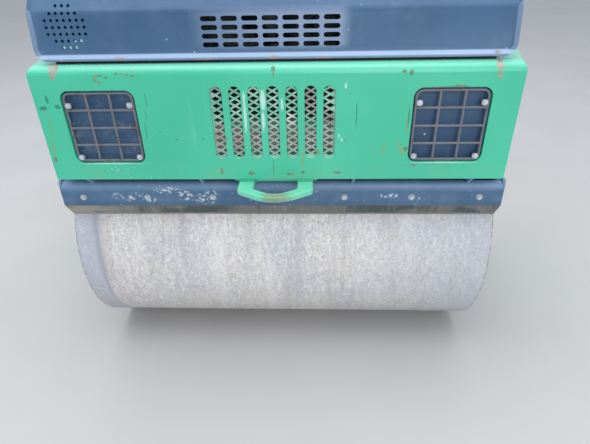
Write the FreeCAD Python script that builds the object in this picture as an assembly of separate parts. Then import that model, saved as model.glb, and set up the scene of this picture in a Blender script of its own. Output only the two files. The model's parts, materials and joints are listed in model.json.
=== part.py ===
import FreeCAD, Part
import math
import os

# Articulated tandem road roller. Millimetres, X across, -Y is the engine end,
# +Z up. The origin is on the ground, midway between the two drums.

V = FreeCAD.Vector
ORIGIN = V(0, 0, 0)

# Clearances, and how far cutters run
RUNNING_GAP = 0.1        # radial, shaft in bore
SEAT_GAP = 0.3           # a piece that rests on another
FACE_GAP = 1.0           # faces of a joint that turn past each other
PAST = 10.0              # how far a cutter runs past what it cuts
BITE = 3.0               # how far a welded piece runs into the next
NOSE_STEPS = 8           # rounds of working out the tip of a rounded point

# Drums
DRUM_WIDTH = 1200.0
DRUM_RADIUS = 350.0
DRUM_SHELL = 16.0
DRUM_END_GAP = 12.0
WEB_INSET = 110.0
WEB_THICK = 14.0
BOSS_RADIUS = 60.0
BOSS_LENGTH = 30.0
STUB_RADIUS = 35.0
STUB_END_GAP = 6.0
AXLE_SPACING = 1700.0
AXLE_Y = AXLE_SPACING / 2
AXLE_Z = DRUM_RADIUS

# Bearing carriers inside the side plates, covers outside
CARRIER_LENGTH = 62.0
CARRIER_RADIUS = 72.0
CARRIER_FLANGE = 95.0
CARRIER_FLANGE_THICK = 14.0
CARRIER_FLOOR = 4.0
COVER_RADIUS = 98.0
COVER_THICK = 10.0
COVER_DOME = 70.0
COVER_DOME_HEIGHT = 20.0

# Frame ends: a bent sheet with slanted sides and a shelf on top
END_FACE_Y = AXLE_Y + 386.0
END_FACE_HALF = 571.0
PANEL_DEPTH = 211.0
PANEL_REAR_Y = END_FACE_Y - PANEL_DEPTH
PANEL_LOW_Z = 657.0
SHELF_Z = 942.0
SHELF_WIDTH = 124.0
SHELF_BEND = 24.0
SHEET = 6.0
CORNER_CUT_Y = 60.0
CORNER_CUT_Z = 35.0

# Frame sides
SIDE_THICK = 12.0
SIDE_IN = DRUM_WIDTH / 2 + DRUM_END_GAP
SIDE_OUT = SIDE_IN + SIDE_THICK
HUB_LOBE = 145.0
LEG_CORNER = 30.0
LEG_ROUND = 40.0
SIDE_DROP = 50.0
SIDE_LOW_Z = AXLE_Z - SIDE_DROP
TIE_HOLE_RADIUS = 22.0
TIE_HOLE_INSET = 60.0
TIE_HOLE_Z = 400.0
DECK_Z = 716.0
DECK_THICK = 8.0

# Slots of the front panel and the expanded metal behind them
SLOT_COUNT = 7
SLOT_PITCH = 44.4
SLOT_WIDTH = 28.0
SLOT_LOW_Z = 713.0
SLOT_HIGH_Z = 893.0
MESH_THICK = 2.0
MESH_MARGIN = 5.0
MESH_PITCH_X = 30.0
MESH_PITCH_Z = 17.2
MESH_STRAND = 4.5

# Lamp windows, their plates and guards
WINDOW_X = (327.0, 506.0)
WINDOW_Z = (703.0, 886.0)
WINDOW_CORNER = 22.0
WINDOW_WALL = 4.0
LAMP_PLATE_SET_BACK = 18.0
LAMP_PLATE_THICK = 4.0
LAMP_PLATE_LAP = 8.0
GUARD_GAP = 4.0
GUARD_RIM = 8.0
GUARD_BAR = 6.0
GUARD_SET_IN = 1.0
GUARD_COLUMNS = 3
GUARD_ROWS = 4
GUARD_FOOT_Z = 40.0

# Scraper beam, blade and spray bar
BEAM_FACE_Y = AXLE_Y + 350.0
BEAM_DEPTH = 50.0
BEAM_LOW_Z = 560.0
BEAM_HIGH_Z = 628.0
BEAM_HALF = 590.0
BEAM_SHEET = 6.0
BEAM_BEND = 16.0
BEAM_LIP = 18.0
CHEEK_THICK = 7.0
CHEEK_SET_BACK = 2.0
CHEEK_FOOT = 30.0
CHEEK_TOP_Z = 634.0
CHEEK_SLANT = 20.0
HANGERS_X = (-500.0, -200.0, 200.0, 500.0)
HANGER_THICK = 8.0
HANGER_TOP_Z = 690.0
HANGER_REACH = 22.0
BLADE_HALF = BEAM_HALF + CHEEK_THICK
BLADE_THICK = 7.0
BLADE_TIP_DEG = 27.5
BLADE_GAP = 5.0
SPRAY_RADIUS = 12.0
SPRAY_Y = AXLE_Y + 300.0
SPRAY_Z = 668.0
SPRAY_HALF = 560.0
NOZZLE_COUNT = 5
NOZZLE_PITCH = 235.0
NOZZLE_RADIUS = 7.0
NOZZLE_REACH = V(0, 12.0, -22.0)

# Tow loop
LOOP_THICK = 16.0
LOOP_TOP_Z = 652.0
LOOP_HALF = 95.0
LOOP_LENGTH = 92.0
LOOP_TAPER = 44.0
LOOP_BAR = 23.0
LOOP_LEG = 40.0
LOOP_ROOT = 46.0
LOOP_ROUND = 14.0
LOOP_NOSE_ROUND = 90.0
LOOP_BEVEL = 2.5
EYE_TAPER = 26.0
EYE_ROUND = 12.0
EYE_NOSE_ROUND = 50.0
EYE_BACK = 28.0
TONGUE_MARGIN = 10.0

# Hood and cowl
HOOD_FRONT_Y = AXLE_Y + 362.0
HOOD_REAR_Y = 442.0
HOOD_HALF_LOW = 539.0
HOOD_HALF_HIGH = 509.0
HOOD_LOW_Z = 949.0
HOOD_BEND_Z = 1054.0
HOOD_TOP_Z = 1320.0
HOOD_BROW_SHARE = 0.7
HOOD_BROW_Z = HOOD_BEND_Z + HOOD_BROW_SHARE * (HOOD_TOP_Z - HOOD_BEND_Z)
HOOD_BROW_SLOPE = 127.0
HOOD_BROW_Y = HOOD_FRONT_Y - HOOD_BROW_SLOPE
HOOD_CROWN = 90.0
HOOD_CROWN_ROUND = 60.0
HOOD_BEND_ROUND = 18.0
HOOD_SKIN = 5.0
HOOD_CORNER_LOW = 32.0
HOOD_CORNER_HIGH = 70.0
BRIM_OUT = 9.0
BRIM_WIDTH = 11.0
BRIM_EDGE = 2.5
BRIM_PROUD = 6.0
BRIM_DEPTH = 8.0
BRIM_CORNER = 27.0
HOOD_BRIM_SHARE = 0.85
VENT_COLUMNS = 7
VENT_ROWS = 4
VENT_PITCH = 45.5
VENT_ROW_PITCH = 18.2
VENT_LENGTH = 37.0
VENT_HEIGHT = 11.0
VENT_LOW_Z = 980.5
VENT_SLOPE_START = 28.0
VENT_END_FACETS = 6
PERFORATION_ROWS = (3, 5, 7, 7, 7, 5, 3)
PERFORATION_X = -462.0
PERFORATION_Z = 1022.0
PERFORATION_PITCH = 14.5
PERFORATION_RADIUS = 3.75
PERFORATION_FACETS = 8
COWL_THICK = 12.0
COWL_GAP = 6.0
HINGE_PIN_RADIUS = 6.0
HINGE_RADIUS = 12.0
HINGE_LEAF = 4.0
HINGE_LEAF_LENGTH = 50.0
HINGE_KNUCKLE = 40.0
HINGE_X = 340.0
HINGE_LINE = V(0, BITE - HOOD_REAR_Y, HOOD_TOP_Z + HINGE_RADIUS)
BUFFER_RADIUS = 14.0
BUFFER_FRONT = 60.0
BUFFER_REAR = 80.0

# Under the hood
RADIATOR_HALF = 230.0
RADIATOR_GAP = 26.0
RADIATOR_THICK = 55.0
ENGINE_FRONT_Y = 1070.0
ENGINE_REAR_Y = 620.0
ENGINE_HALF = 230.0
SUMP_HALF = 170.0
SUMP_HEIGHT = 90.0
SUMP_OVERHANG = 30.0
ENGINE_HEAD_ROOM = 196.0

# Centre joint: steering pin, knuckle and roll shaft
WALL_THICK = 16.0
FRONT_WALL_Y = 414.0
REAR_WALL_Y = 250.0
WALL_LOW_Z = 330.0
WALL_HAUNCH = 90.0
WALL_HAUNCH_X = 70.0
WALL_TOP_CUT = 20.0
LUG_THICK = 25.0
LUG_LOW_Z = 330.0
LUG_HIGH_Z = 540.0
LUG_ROOT_HALF = 220.0
LUG_NOSE = 75.0
LUG_NECK_Y = 80.0
LUG_NECK_ROUND = 60.0
PIN_RADIUS = 30.0
PIN_HEAD = 42.0
PIN_HEAD_THICK = 9.5
HUB_RADIUS = 62.0
ROLL_Z = 447.0
ROLL_RADIUS = 45.0
ROLL_HOUSING = 85.0
ROLL_HOUSING_Y = 140.0
ROLL_COLLAR = 80.0
RETAINER_RADIUS = 70.0
RETAINER_THICK = 15.0
RIB_THICK = 16.0
RIB_LENGTH = 110.0

# Steering cylinder, from a bracket on the front wall to an arm on the knuckle
BARREL_PIN = V(-120.0, -345.0, ROLL_Z)
ROD_EYE = V(-145.0, 67.6, ROLL_Z)
EAR_THICK = 12.0
EAR_RADIUS = 30.0
ARM_HALF = 28.0
EYE_THICK = 18.0
EYE_RADIUS = 24.0
EYE_PIN_RADIUS = 12.0
NECK_RADIUS = 8.0
BARREL_RADIUS = 26.0
BARREL_START = 32.0
BARREL_END = 262.0
BARREL_CAP = 28.0
BARREL_CAP_RADIUS = 30.0
BARREL_BORE_START = 50.0
ROD_RADIUS = 14.0
ROD_START = 132.0
ROD_NECK = 70.0

# Operator's place
PLATFORM_Z = 600.0
PLATFORM_FRONT_Y = -60.0
PLATFORM_HALF = 560.0
PLATFORM_SKIRT = 45.0
STEP_Z = 320.0
STEP_Y = (20.0, 230.0)
STEP_WIDTH = 80.0
STEP_THICK = 10.0
STEP_STRAP = 30.0
RISER_Y = 556.0
LID_LIP = 40.0
CONSOLE_HALF = 125.0
CONSOLE_FLOOR_Y = (60.0, 190.0)
CONSOLE_DASH_LOW = (215.0, 1010.0)
CONSOLE_DASH_HIGH = (180.0, 1090.0)
CONSOLE_BACK_HIGH = (70.0, 1050.0)
CONSOLE_ROUND = 20.0
COLUMN_LEAN = math.radians(25)
COLUMN_BASE = V(0, 190.0, 1040.0)
COLUMN_ROOT = 60.0
COLUMN_LENGTH = 280.0
COLUMN_RADIUS = 22.0
SHAFT_RADIUS = 14.0
WHEEL_RADIUS = 190.0
WHEEL_RIM = 13.0
WHEEL_RIM_FACETS = 8
WHEEL_DISH = 8.0
WHEEL_HUB = 30.0
WHEEL_HUB_LENGTH = 36.0
WHEEL_HUB_FLOOR = 6.0
SPOKE_COUNT = 3
SPOKE_RADIUS = 8.0
LEVER_PIVOT = V(0, 150.0, 1000.0)
LEVER_PIVOT_RADIUS = 18.0
LEVER_PIVOT_LENGTH = 24.0
LEVER_OFFSET = 14.0
LEVER_REACH = V(10.0, 40.0, 190.0)
LEVER_RADIUS = 8.0
KNOB_RADIUS = 20.0
KNOB_NECK = 12.0
KNOB_HEIGHT = 34.0

# Seat, hand rails and water tank
SEAT_REAR_Y = 1050.0
SEAT_DEPTH = 410.0
SEAT_FRONT_Y = SEAT_REAR_Y - SEAT_DEPTH
SEAT_HALF = 235.0
SEAT_ROUND = 45.0
SEAT_PAN_Z = 1030.0
SEAT_PAN_THICK = 6.0
SEAT_PAN_INSET = 20.0
PEDESTAL_HALF = 165.0
PEDESTAL_LOW_Y = (710.0, 970.0)
PEDESTAL_HIGH_Y = (680.0, 1010.0)
CUSHION_THICK = 90.0
BACK_THICK = 80.0
BACK_HEIGHT = 380.0
BACK_HALF = 225.0
BACK_ROUND = 60.0
BACK_GAP = 10.0
BACK_BARS_X = (100.0, 140.0)
BACK_BAR_THICK = 12.0
BACK_BAR_HEIGHT = 400.0
RAIL_RADIUS = 17.0
RAIL_X = 560.0
RAIL_Y = (610.0, 1080.0)
RAIL_TOP_Z = 1240.0
RAIL_BEND = 80.0
RAIL_FACETS = 12
FLANGE_RADIUS = 36.0
FLANGE_THICK = 8.0
TANK_GAP = 55.0
TANK_FRONT_Y = SEAT_REAR_Y + TANK_GAP
TANK_DEPTH = 100.0
TANK_HALF = 420.0
TANK_HEIGHT = 250.0
TANK_ROUND = 22.0
FILLER = V(-250.0, TANK_FRONT_Y + TANK_DEPTH / 2, SHELF_Z + TANK_HEIGHT)
FILLER_RADIUS = 34.0
FILLER_HEIGHT = 12.0
CAP_RADIUS = 40.0
CAP_HEIGHT = 18.0
CAP_GRIP = 6.0
CAP_GRIP_HEIGHT = 10.0


def block(x, y, z):
    """Box between (low, high) pairs."""
    return Part.makeBox(x[1] - x[0], y[1] - y[0], z[1] - z[0], V(x[0], y[0], z[0]))


def bar(radius, start, end):
    """Round bar from one point to another."""
    run = end - start
    return Part.makeCylinder(radius, run.Length, start, run)


def outline(rows, place):
    """Closed wire through rows (u, v, corner radius); place maps (u, v) to a point."""
    count = len(rows)
    ends = []
    for i, (u, v, radius) in enumerate(rows):
        corner = V(u, v, 0)
        to_last = (V(rows[i - 1][0], rows[i - 1][1], 0) - corner).normalize()
        after = rows[(i + 1) % count]
        to_next = (V(after[0], after[1], 0) - corner).normalize()
        if radius:
            half = to_last.getAngle(to_next) / 2
            reach = radius / math.tan(half)
            middle = corner + (to_last + to_next).normalize() * (radius / math.sin(half) - radius)
            ends.append((corner + to_last * reach, middle, corner + to_next * reach))
        else:
            ends.append((corner, None, corner))
    edges = []
    for i, (start, middle, end) in enumerate(ends):
        if middle:
            edges.append(Part.Arc(*[place(p.x, p.y) for p in (start, middle, end)]).toShape())
        nearest = ends[(i + 1) % count][0]
        if (nearest - end).Length > 1e-6:
            edges.append(Part.LineSegment(place(end.x, end.y), place(nearest.x, nearest.y)).toShape())
    return Part.Wire(edges)


def plate_x(rows, low, high):
    """Plate across X from rows (y, z, corner radius)."""
    return Part.Face(outline(rows, lambda u, v: V(low, u, v))).extrude(V(high - low, 0, 0))


def plate_y(rows, low, high):
    """Plate across Y from rows (x, z, corner radius)."""
    return Part.Face(outline(rows, lambda u, v: V(u, low, v))).extrude(V(0, high - low, 0))


def plate_z(rows, low, high):
    """Plate across Z from rows (x, y, corner radius)."""
    return Part.Face(outline(rows, lambda u, v: V(u, v, low))).extrude(V(0, 0, high - low))


def rectangle(u, v, radius=0.0):
    """Rows of a rectangle between (low, high) pairs, corners rounded."""
    return [(u[0], v[0], radius), (u[1], v[0], radius), (u[1], v[1], radius), (u[0], v[1], radius)]


def obround(width, height):
    """Cutter for a slot with full round ends, centred on the origin and run through Y."""
    radius = min(width, height) / 2
    reach = V(width / 2 - radius, 0, height / 2 - radius)
    half_x, half_z = max(reach.x, radius), max(reach.z, radius)
    along = V(0, PAST, 0)
    core = block((-half_x, half_x), (-PAST, PAST), (-half_z, half_z))
    return core.fuse([bar(radius, end - along, end + along) for end in (reach, -reach)])


def facets(radius, start_deg, end_deg, count):
    """Points (u, v) of an arc about the origin, cut into count flats."""
    step = math.radians(end_deg - start_deg) / count
    start = math.radians(start_deg)
    turns = [start + step * i for i in range(count + 1)]
    return [(radius * math.cos(turn), radius * math.sin(turn)) for turn in turns]


def inset(points, distances):
    """Closed outline with each edge moved inwards by its distance; points run anticlockwise."""
    lines = []
    for i, (x, y) in enumerate(points):
        nx, ny = points[(i + 1) % len(points)]
        length = math.hypot(nx - x, ny - y)
        dx, dy = (nx - x) / length, (ny - y) / length
        lines.append((x - dy * distances[i], y + dx * distances[i], dx, dy))
    moved = []
    for i in range(len(points)):
        ax, ay, adx, ady = lines[i - 1]
        bx, by, bdx, bdy = lines[i]
        t = ((bx - ax) * bdy - (by - ay) * bdx) / (adx * bdy - ady * bdx)
        moved.append((ax + adx * t, ay + ady * t, 0))
    return moved


def joined(shapes):
    """One solid from overlapping or touching shapes."""
    return shapes[0].fuse(shapes[1:]).removeSplitter()


def mirrored_x(shape):
    return shape.mirror(ORIGIN, V(1, 0, 0))


def to_rear(shape):
    return shape.mirror(ORIGIN, V(0, 1, 0))


def both_sides(shape):
    return Part.makeCompound([shape, mirrored_x(shape)])


# The end of each frame. Shapes are made at the front, where Y is negative.

END_PLAN = [(-SIDE_OUT, -PANEL_REAR_Y), (-END_FACE_HALF, -END_FACE_Y),
            (END_FACE_HALF, -END_FACE_Y), (SIDE_OUT, -PANEL_REAR_Y)]


def end_plan(sheet, rear):
    """END_PLAN with its three outer edges moved in by sheet and its open rear edge out by rear."""
    return inset(END_PLAN, [sheet] * 3 + [-rear])


def floor_plan(side, face, inner_y):
    """Plan of a plate inside a frame end: END_PLAN's edges moved in, then straight back to inner_y."""
    front = inset(END_PLAN, [side, face, side, 0])
    return [(front[0][0], -inner_y, 0)] + front + [(front[-1][0], -inner_y, 0)]


def bent_top(rows, low, high, radius):
    """Plan extruded up, the edges of its top rounded except the rear one."""
    body = plate_z(rows, low, high)
    rear_y = max(row[1] for row in rows)
    top = [edge for edge in body.Edges
           if all(abs(v.Z - high) < 1e-6 for v in edge.Vertexes)
           and not all(abs(v.Y - rear_y) < 1e-6 for v in edge.Vertexes)]
    return body.makeFillet(radius, top)


def window_rows(grow):
    """Rows of a lamp window, grown all round."""
    return rectangle((WINDOW_X[0] - grow, WINDOW_X[1] + grow),
                     (WINDOW_Z[0] - grow, WINDOW_Z[1] + grow), WINDOW_CORNER + grow)


def slot_cutters():
    slot = obround(SLOT_WIDTH, SLOT_HIGH_Z - SLOT_LOW_Z)
    middle = V(0, -END_FACE_Y, (SLOT_LOW_Z + SLOT_HIGH_Z) / 2)
    first = -(SLOT_COUNT - 1) / 2
    return [slot.translated(middle + V((first + i) * SLOT_PITCH, 0, 0)) for i in range(SLOT_COUNT)]


def end_panel(cutters):
    """Bent end sheet with two sleeved windows, tongues for its tow loop and what cutters take out."""
    outer = bent_top(end_plan(0, 0), PANEL_LOW_Z, SHELF_Z, SHELF_BEND)
    inner = bent_top(end_plan(SHEET, PAST), PANEL_LOW_Z - PAST, SHELF_Z - SHEET, SHELF_BEND - SHEET)
    mouth = plate_z(end_plan(SHELF_WIDTH, PAST), SHELF_Z - SHELF_BEND - PAST, SHELF_Z + PAST)
    panel = outer.cut(inner).cut(mouth)
    back = -END_FACE_Y + LAMP_PLATE_SET_BACK
    sleeve = plate_y(window_rows(WINDOW_WALL), -END_FACE_Y + BITE, back)
    hole = plate_y(window_rows(0), -END_FACE_Y - PAST, back + PAST)
    tongue = block((LOOP_HALF - LOOP_LEG, LOOP_HALF + TONGUE_MARGIN),
                   (-END_FACE_Y + BITE, -END_FACE_Y + LOOP_ROOT), (LOOP_TOP_Z, PANEL_LOW_Z + SHEET))
    panel = panel.fuse([sleeve, mirrored_x(sleeve), tongue, mirrored_x(tongue)])
    # The lower corner of each slanted side is cut back behind the face.
    start = -END_FACE_Y + SHEET
    corner = plate_x([(start, PANEL_LOW_Z - PAST, 0), (start + CORNER_CUT_Y, PANEL_LOW_Z - PAST, 0),
                      (start, PANEL_LOW_Z + CORNER_CUT_Z, 0)], END_FACE_HALF - 2 * SHEET, SIDE_OUT + PAST)
    return panel.cut([hole, mirrored_x(hole), corner, mirrored_x(corner)] + cutters).removeSplitter()


def side_plates(inner_y, tall_y, low_top_z):
    """Both side plates: a thick leg to the axle and a bent shelf above it.

    inner_y is the end at the centre joint, tall_y where the shelf ends, low_top_z the
    height of the plate beyond it."""
    lobe_low = AXLE_Z - HUB_LOBE
    lobe_round = HUB_LOBE - BITE
    rows = [(-PANEL_REAR_Y, DECK_Z, 0), (-PANEL_REAR_Y, PANEL_LOW_Z - PAST, LEG_CORNER),
            (-AXLE_Y - HUB_LOBE, lobe_low, lobe_round), (-AXLE_Y + HUB_LOBE, lobe_low, lobe_round),
            (-AXLE_Y + HUB_LOBE + LEG_CORNER, SIDE_LOW_Z, LEG_CORNER / 2),
            (-inner_y, SIDE_LOW_Z, LEG_ROUND), (-inner_y, low_top_z, 0)]
    if tall_y > inner_y:
        rows += [(-tall_y, low_top_z, 0), (-tall_y, DECK_Z, 0)]
    leg = plate_x(rows, SIDE_IN, SIDE_OUT)
    bend = [(SIDE_OUT, DECK_Z, 0), (SIDE_OUT, SHELF_Z, SHELF_BEND),
            (SIDE_OUT - SHELF_WIDTH, SHELF_Z, 0), (SIDE_OUT - SHELF_WIDTH, SHELF_Z - SHEET, 0),
            (SIDE_IN, SHELF_Z - SHEET, SHELF_BEND - SIDE_THICK), (SIDE_IN, DECK_Z, 0)]
    shelf = plate_y(bend, -PANEL_REAR_Y, -tall_y)
    hole_y = -inner_y - TIE_HOLE_INSET
    hole = bar(TIE_HOLE_RADIUS, V(SIDE_IN - PAST, hole_y, TIE_HOLE_Z), V(SIDE_OUT + PAST, hole_y, TIE_HOLE_Z))
    return both_sides(joined([leg, shelf]).cut(hole))


def deck(inner_y):
    """Plate over the drum, inside the panel and side plates and behind the lamp plates."""
    face = LAMP_PLATE_SET_BACK + LAMP_PLATE_THICK + BITE
    return plate_z(floor_plan(SIDE_THICK, face, inner_y), DECK_Z, DECK_Z + DECK_THICK)


def lamp_plates():
    face = -END_FACE_Y + LAMP_PLATE_SET_BACK
    return both_sides(plate_y(window_rows(LAMP_PLATE_LAP), face, face + LAMP_PLATE_THICK))


def lamp_guards():
    """A welded grid in each window, on four legs that stand on the plate behind."""
    face = -END_FACE_Y
    rim = plate_y(window_rows(-GUARD_GAP), face, face + GUARD_RIM)
    rim = rim.cut(plate_y(window_rows(-GUARD_GAP - GUARD_RIM), face - PAST, face + GUARD_RIM + PAST))
    edge = GUARD_GAP + GUARD_RIM / 4
    low_x, high_x = WINDOW_X[0] + edge, WINDOW_X[1] - edge
    low_z, high_z = WINDOW_Z[0] + edge, WINDOW_Z[1] - edge
    depth = (face + GUARD_SET_IN, face + GUARD_SET_IN + GUARD_BAR)
    pieces = [rim]
    for i in range(1, GUARD_COLUMNS):
        x = low_x + (high_x - low_x) * i / GUARD_COLUMNS
        pieces.append(block((x - GUARD_BAR / 2, x + GUARD_BAR / 2), depth, (low_z, high_z)))
    for i in range(1, GUARD_ROWS):
        z = low_z + (high_z - low_z) * i / GUARD_ROWS
        pieces.append(block((low_x, high_x), depth, (z - GUARD_BAR / 2, z + GUARD_BAR / 2)))
    foot = (face + GUARD_RIM - GUARD_SET_IN, face + LAMP_PLATE_SET_BACK)
    centre_z = (low_z + high_z) / 2
    for x in (low_x, high_x - GUARD_BAR):
        for z in (centre_z - GUARD_FOOT_Z, centre_z + GUARD_FOOT_Z):
            pieces.append(block((x, x + GUARD_BAR), foot, (z, z + GUARD_BAR)))
    return both_sides(joined(pieces))


def nose(half, taper, front, radius):
    """Row of the tip of a point across X, so that its arc of that radius just reaches front."""
    lift = 0.0
    for _ in range(NOSE_STEPS):
        lift = radius * (math.hypot(1, (taper + lift) / half) - 1)
    return (0, front - lift, radius)


def tow_loop():
    """Thick bowed plate under the panel with a wide eye, its free edges bevelled."""
    root = -END_FACE_Y + LOOP_ROOT
    front = -END_FACE_Y - LOOP_LENGTH
    shoulder = front + LOOP_TAPER
    outer = [(-LOOP_HALF, root, 0), (LOOP_HALF, root, 0), (LOOP_HALF, shoulder, LOOP_ROUND),
             nose(LOOP_HALF, LOOP_TAPER, front, LOOP_NOSE_ROUND), (-LOOP_HALF, shoulder, LOOP_ROUND)]
    eye_half = LOOP_HALF - LOOP_LEG
    inside, behind = front + LOOP_BAR, -END_FACE_Y + EYE_BACK
    shoulder = inside + EYE_TAPER
    hole = [(-eye_half, behind, EYE_ROUND), (eye_half, behind, EYE_ROUND), (eye_half, shoulder, EYE_ROUND),
            nose(eye_half, EYE_TAPER, inside, EYE_NOSE_ROUND), (-eye_half, shoulder, EYE_ROUND)]
    low = LOOP_TOP_Z - LOOP_THICK
    loop = plate_z(outer, low, LOOP_TOP_Z).cut(plate_z(hole, low - PAST, LOOP_TOP_Z + PAST))
    edges = [edge for edge in loop.Edges
             if abs(edge.Vertexes[0].Z - edge.Vertexes[-1].Z) < 1e-6
             and max(v.Y for v in edge.Vertexes) < -END_FACE_Y - LOOP_BEVEL]
    return loop.makeChamfer(LOOP_BEVEL, edges)


def scraper_beam():
    """Bent channel with cheeks at its ends, hung on gusset plates behind the panel."""
    face, back = -BEAM_FACE_Y, -BEAM_FACE_Y + BEAM_DEPTH
    section = [(face, BEAM_LOW_Z, 0), (face + BEAM_LIP, BEAM_LOW_Z, 0),
               (face + BEAM_LIP, BEAM_LOW_Z + BEAM_SHEET, 0), (face + BEAM_SHEET, BEAM_LOW_Z + BEAM_SHEET, 0),
               (face + BEAM_SHEET, BEAM_HIGH_Z - BEAM_SHEET, BEAM_BEND - BEAM_SHEET),
               (back, BEAM_HIGH_Z - BEAM_SHEET, 0), (back, BEAM_HIGH_Z, 0), (face, BEAM_HIGH_Z, BEAM_BEND)]
    cheek = [(face + CHEEK_SET_BACK, BEAM_LOW_Z, 0), (face + CHEEK_FOOT, BEAM_LOW_Z, 0),
             (back, BEAM_HIGH_Z - CHEEK_SLANT, 0), (back, CHEEK_TOP_Z, 0),
             (face + CHEEK_SET_BACK, CHEEK_TOP_Z, PAST)]
    end = plate_x(cheek, BEAM_HALF, BEAM_HALF + CHEEK_THICK)
    panel_back = -END_FACE_Y + SHEET
    hanger = [(panel_back, PANEL_LOW_Z, 0), (face + BEAM_SHEET, BEAM_HIGH_Z - BITE, 0),
              (back - BITE, BEAM_HIGH_Z - BITE, 0), (-SPRAY_Y + HANGER_REACH, SPRAY_Z - SPRAY_RADIUS, 0),
              (-SPRAY_Y + HANGER_REACH, HANGER_TOP_Z, CHEEK_THICK), (panel_back, HANGER_TOP_Z, 0)]
    pieces = [plate_x(section, -BEAM_HALF, BEAM_HALF), end, mirrored_x(end)]
    for x in HANGERS_X:
        pieces.append(plate_x(hanger, x - HANGER_THICK / 2, x + HANGER_THICK / 2))
    return joined(pieces).cut(bar(SPRAY_RADIUS + SEAT_GAP, V(-SPRAY_HALF, -SPRAY_Y, SPRAY_Z),
                                  V(SPRAY_HALF, -SPRAY_Y, SPRAY_Z)))


def scraper_blade():
    """Flat blade from the beam's lower edge to just off the drum."""
    angle = math.radians(BLADE_TIP_DEG)
    reach = DRUM_RADIUS + BLADE_GAP
    tip = V(0, -AXLE_Y - reach * math.cos(angle), AXLE_Z + reach * math.sin(angle))
    heel = tip + V(0, math.sin(angle) / 2, math.cos(angle)) * BLADE_THICK
    face = -BEAM_FACE_Y + CHEEK_SET_BACK
    rows = [(face, BEAM_LOW_Z, 0), (tip.y, tip.z, 0), (heel.y, heel.z, 0),
            (face + BLADE_THICK * 1.5, BEAM_LOW_Z, 0)]
    return plate_x(rows, -BLADE_HALF, BLADE_HALF)


def spray_bar():
    """Water pipe with its nozzles, through the beam's hangers."""
    pieces = [bar(SPRAY_RADIUS, V(-SPRAY_HALF, -SPRAY_Y, SPRAY_Z), V(SPRAY_HALF, -SPRAY_Y, SPRAY_Z))]
    for i in range(NOZZLE_COUNT):
        root = V((i - (NOZZLE_COUNT - 1) / 2) * NOZZLE_PITCH, -SPRAY_Y, SPRAY_Z)
        pieces.append(bar(NOZZLE_RADIUS, root, root + NOZZLE_REACH))
    return joined(pieces)


def hub_mounts():
    """Bearing carriers inside the side plates and their covers outside."""
    def across(radius, start, end):
        return bar(radius, V(start, -AXLE_Y, AXLE_Z), V(end, -AXLE_Y, AXLE_Z))

    inner = SIDE_IN - CARRIER_LENGTH
    carrier = joined([across(CARRIER_FLANGE, SIDE_IN - CARRIER_FLANGE_THICK, SIDE_IN),
                      across(CARRIER_RADIUS, inner, SIDE_IN)])
    carrier = carrier.cut(across(STUB_RADIUS + RUNNING_GAP, inner - PAST, SIDE_IN - CARRIER_FLOOR))
    cover = joined([across(COVER_RADIUS, SIDE_OUT, SIDE_OUT + COVER_THICK),
                    across(COVER_DOME, SIDE_OUT, SIDE_OUT + COVER_DOME_HEIGHT)])
    return Part.makeCompound([carrier, cover, mirrored_x(carrier), mirrored_x(cover)])


def drum():
    """Shell with a web near each end, and on each web a boss and a stub axle."""
    def across(radius, start, end):
        return bar(radius, V(start, -AXLE_Y, AXLE_Z), V(end, -AXLE_Y, AXLE_Z))

    half = DRUM_WIDTH / 2
    web = half - WEB_INSET
    inner = DRUM_RADIUS - DRUM_SHELL
    pieces = [across(DRUM_RADIUS, -half, half).cut(across(inner, -half - PAST, half + PAST))]
    for side in (1, -1):
        pieces.append(across(inner + FACE_GAP, side * web, side * (web - WEB_THICK)))
        pieces.append(across(BOSS_RADIUS, side * web, side * (web + BOSS_LENGTH)))
        pieces.append(across(STUB_RADIUS, side * (web - WEB_THICK - BITE), side * (SIDE_IN - STUB_END_GAP)))
    return joined(pieces)


# Front frame only

def screen_mesh():
    """Expanded metal behind the slots: rows of diamonds, every other row half a pitch over."""
    half = SLOT_COUNT * SLOT_PITCH / 2 + MESH_MARGIN
    back = -END_FACE_Y + SHEET
    low, high = SLOT_LOW_Z - MESH_MARGIN, SLOT_HIGH_Z + MESH_MARGIN
    step_x, step_z = MESH_PITCH_X / 2, MESH_PITCH_Z / 2
    opening = 1 - MESH_STRAND * math.hypot(step_x, step_z) / (2 * step_x * step_z)
    reach_x, reach_z = step_x * opening, step_z * opening
    wires = [outline(rectangle((-half, half), (low, high)), lambda u, v: V(u, back, v))]
    for row in range(1, int((high - low) / step_z)):
        z = low + row * step_z
        count = int(half / MESH_PITCH_X + row % 2 / 2)
        for column in range(-count, count + row % 2):
            x = (column + (0.5 if row % 2 == 0 else 0)) * MESH_PITCH_X
            if abs(x) + reach_x < half - MESH_MARGIN / 2:
                diamond = [(x - reach_x, z, 0), (x, z - reach_z, 0), (x + reach_x, z, 0), (x, z + reach_z, 0)]
                wires.append(outline(diamond, lambda u, v: V(u, back, v)))
    return Part.makeFace(wires, "Part::FaceMakerCheese").extrude(V(0, MESH_THICK, 0))


def hood_section(grow, low, front, rear, low_corner=HOOD_CORNER_LOW):
    """Hood's front view between two planes, grown all round."""
    slope = (HOOD_HALF_LOW - HOOD_HALF_HIGH) / (HOOD_TOP_Z - HOOD_LOW_Z)
    low_half = HOOD_HALF_LOW + grow + slope * (HOOD_LOW_Z - low)
    high_half = HOOD_HALF_HIGH + grow - slope * grow
    top = HOOD_TOP_Z + grow
    rows = [(-low_half, low, low_corner), (low_half, low, low_corner),
            (high_half, top, HOOD_CORNER_HIGH), (-high_half, top, HOOD_CORNER_HIGH)]
    return plate_y(rows, front, rear)


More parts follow.
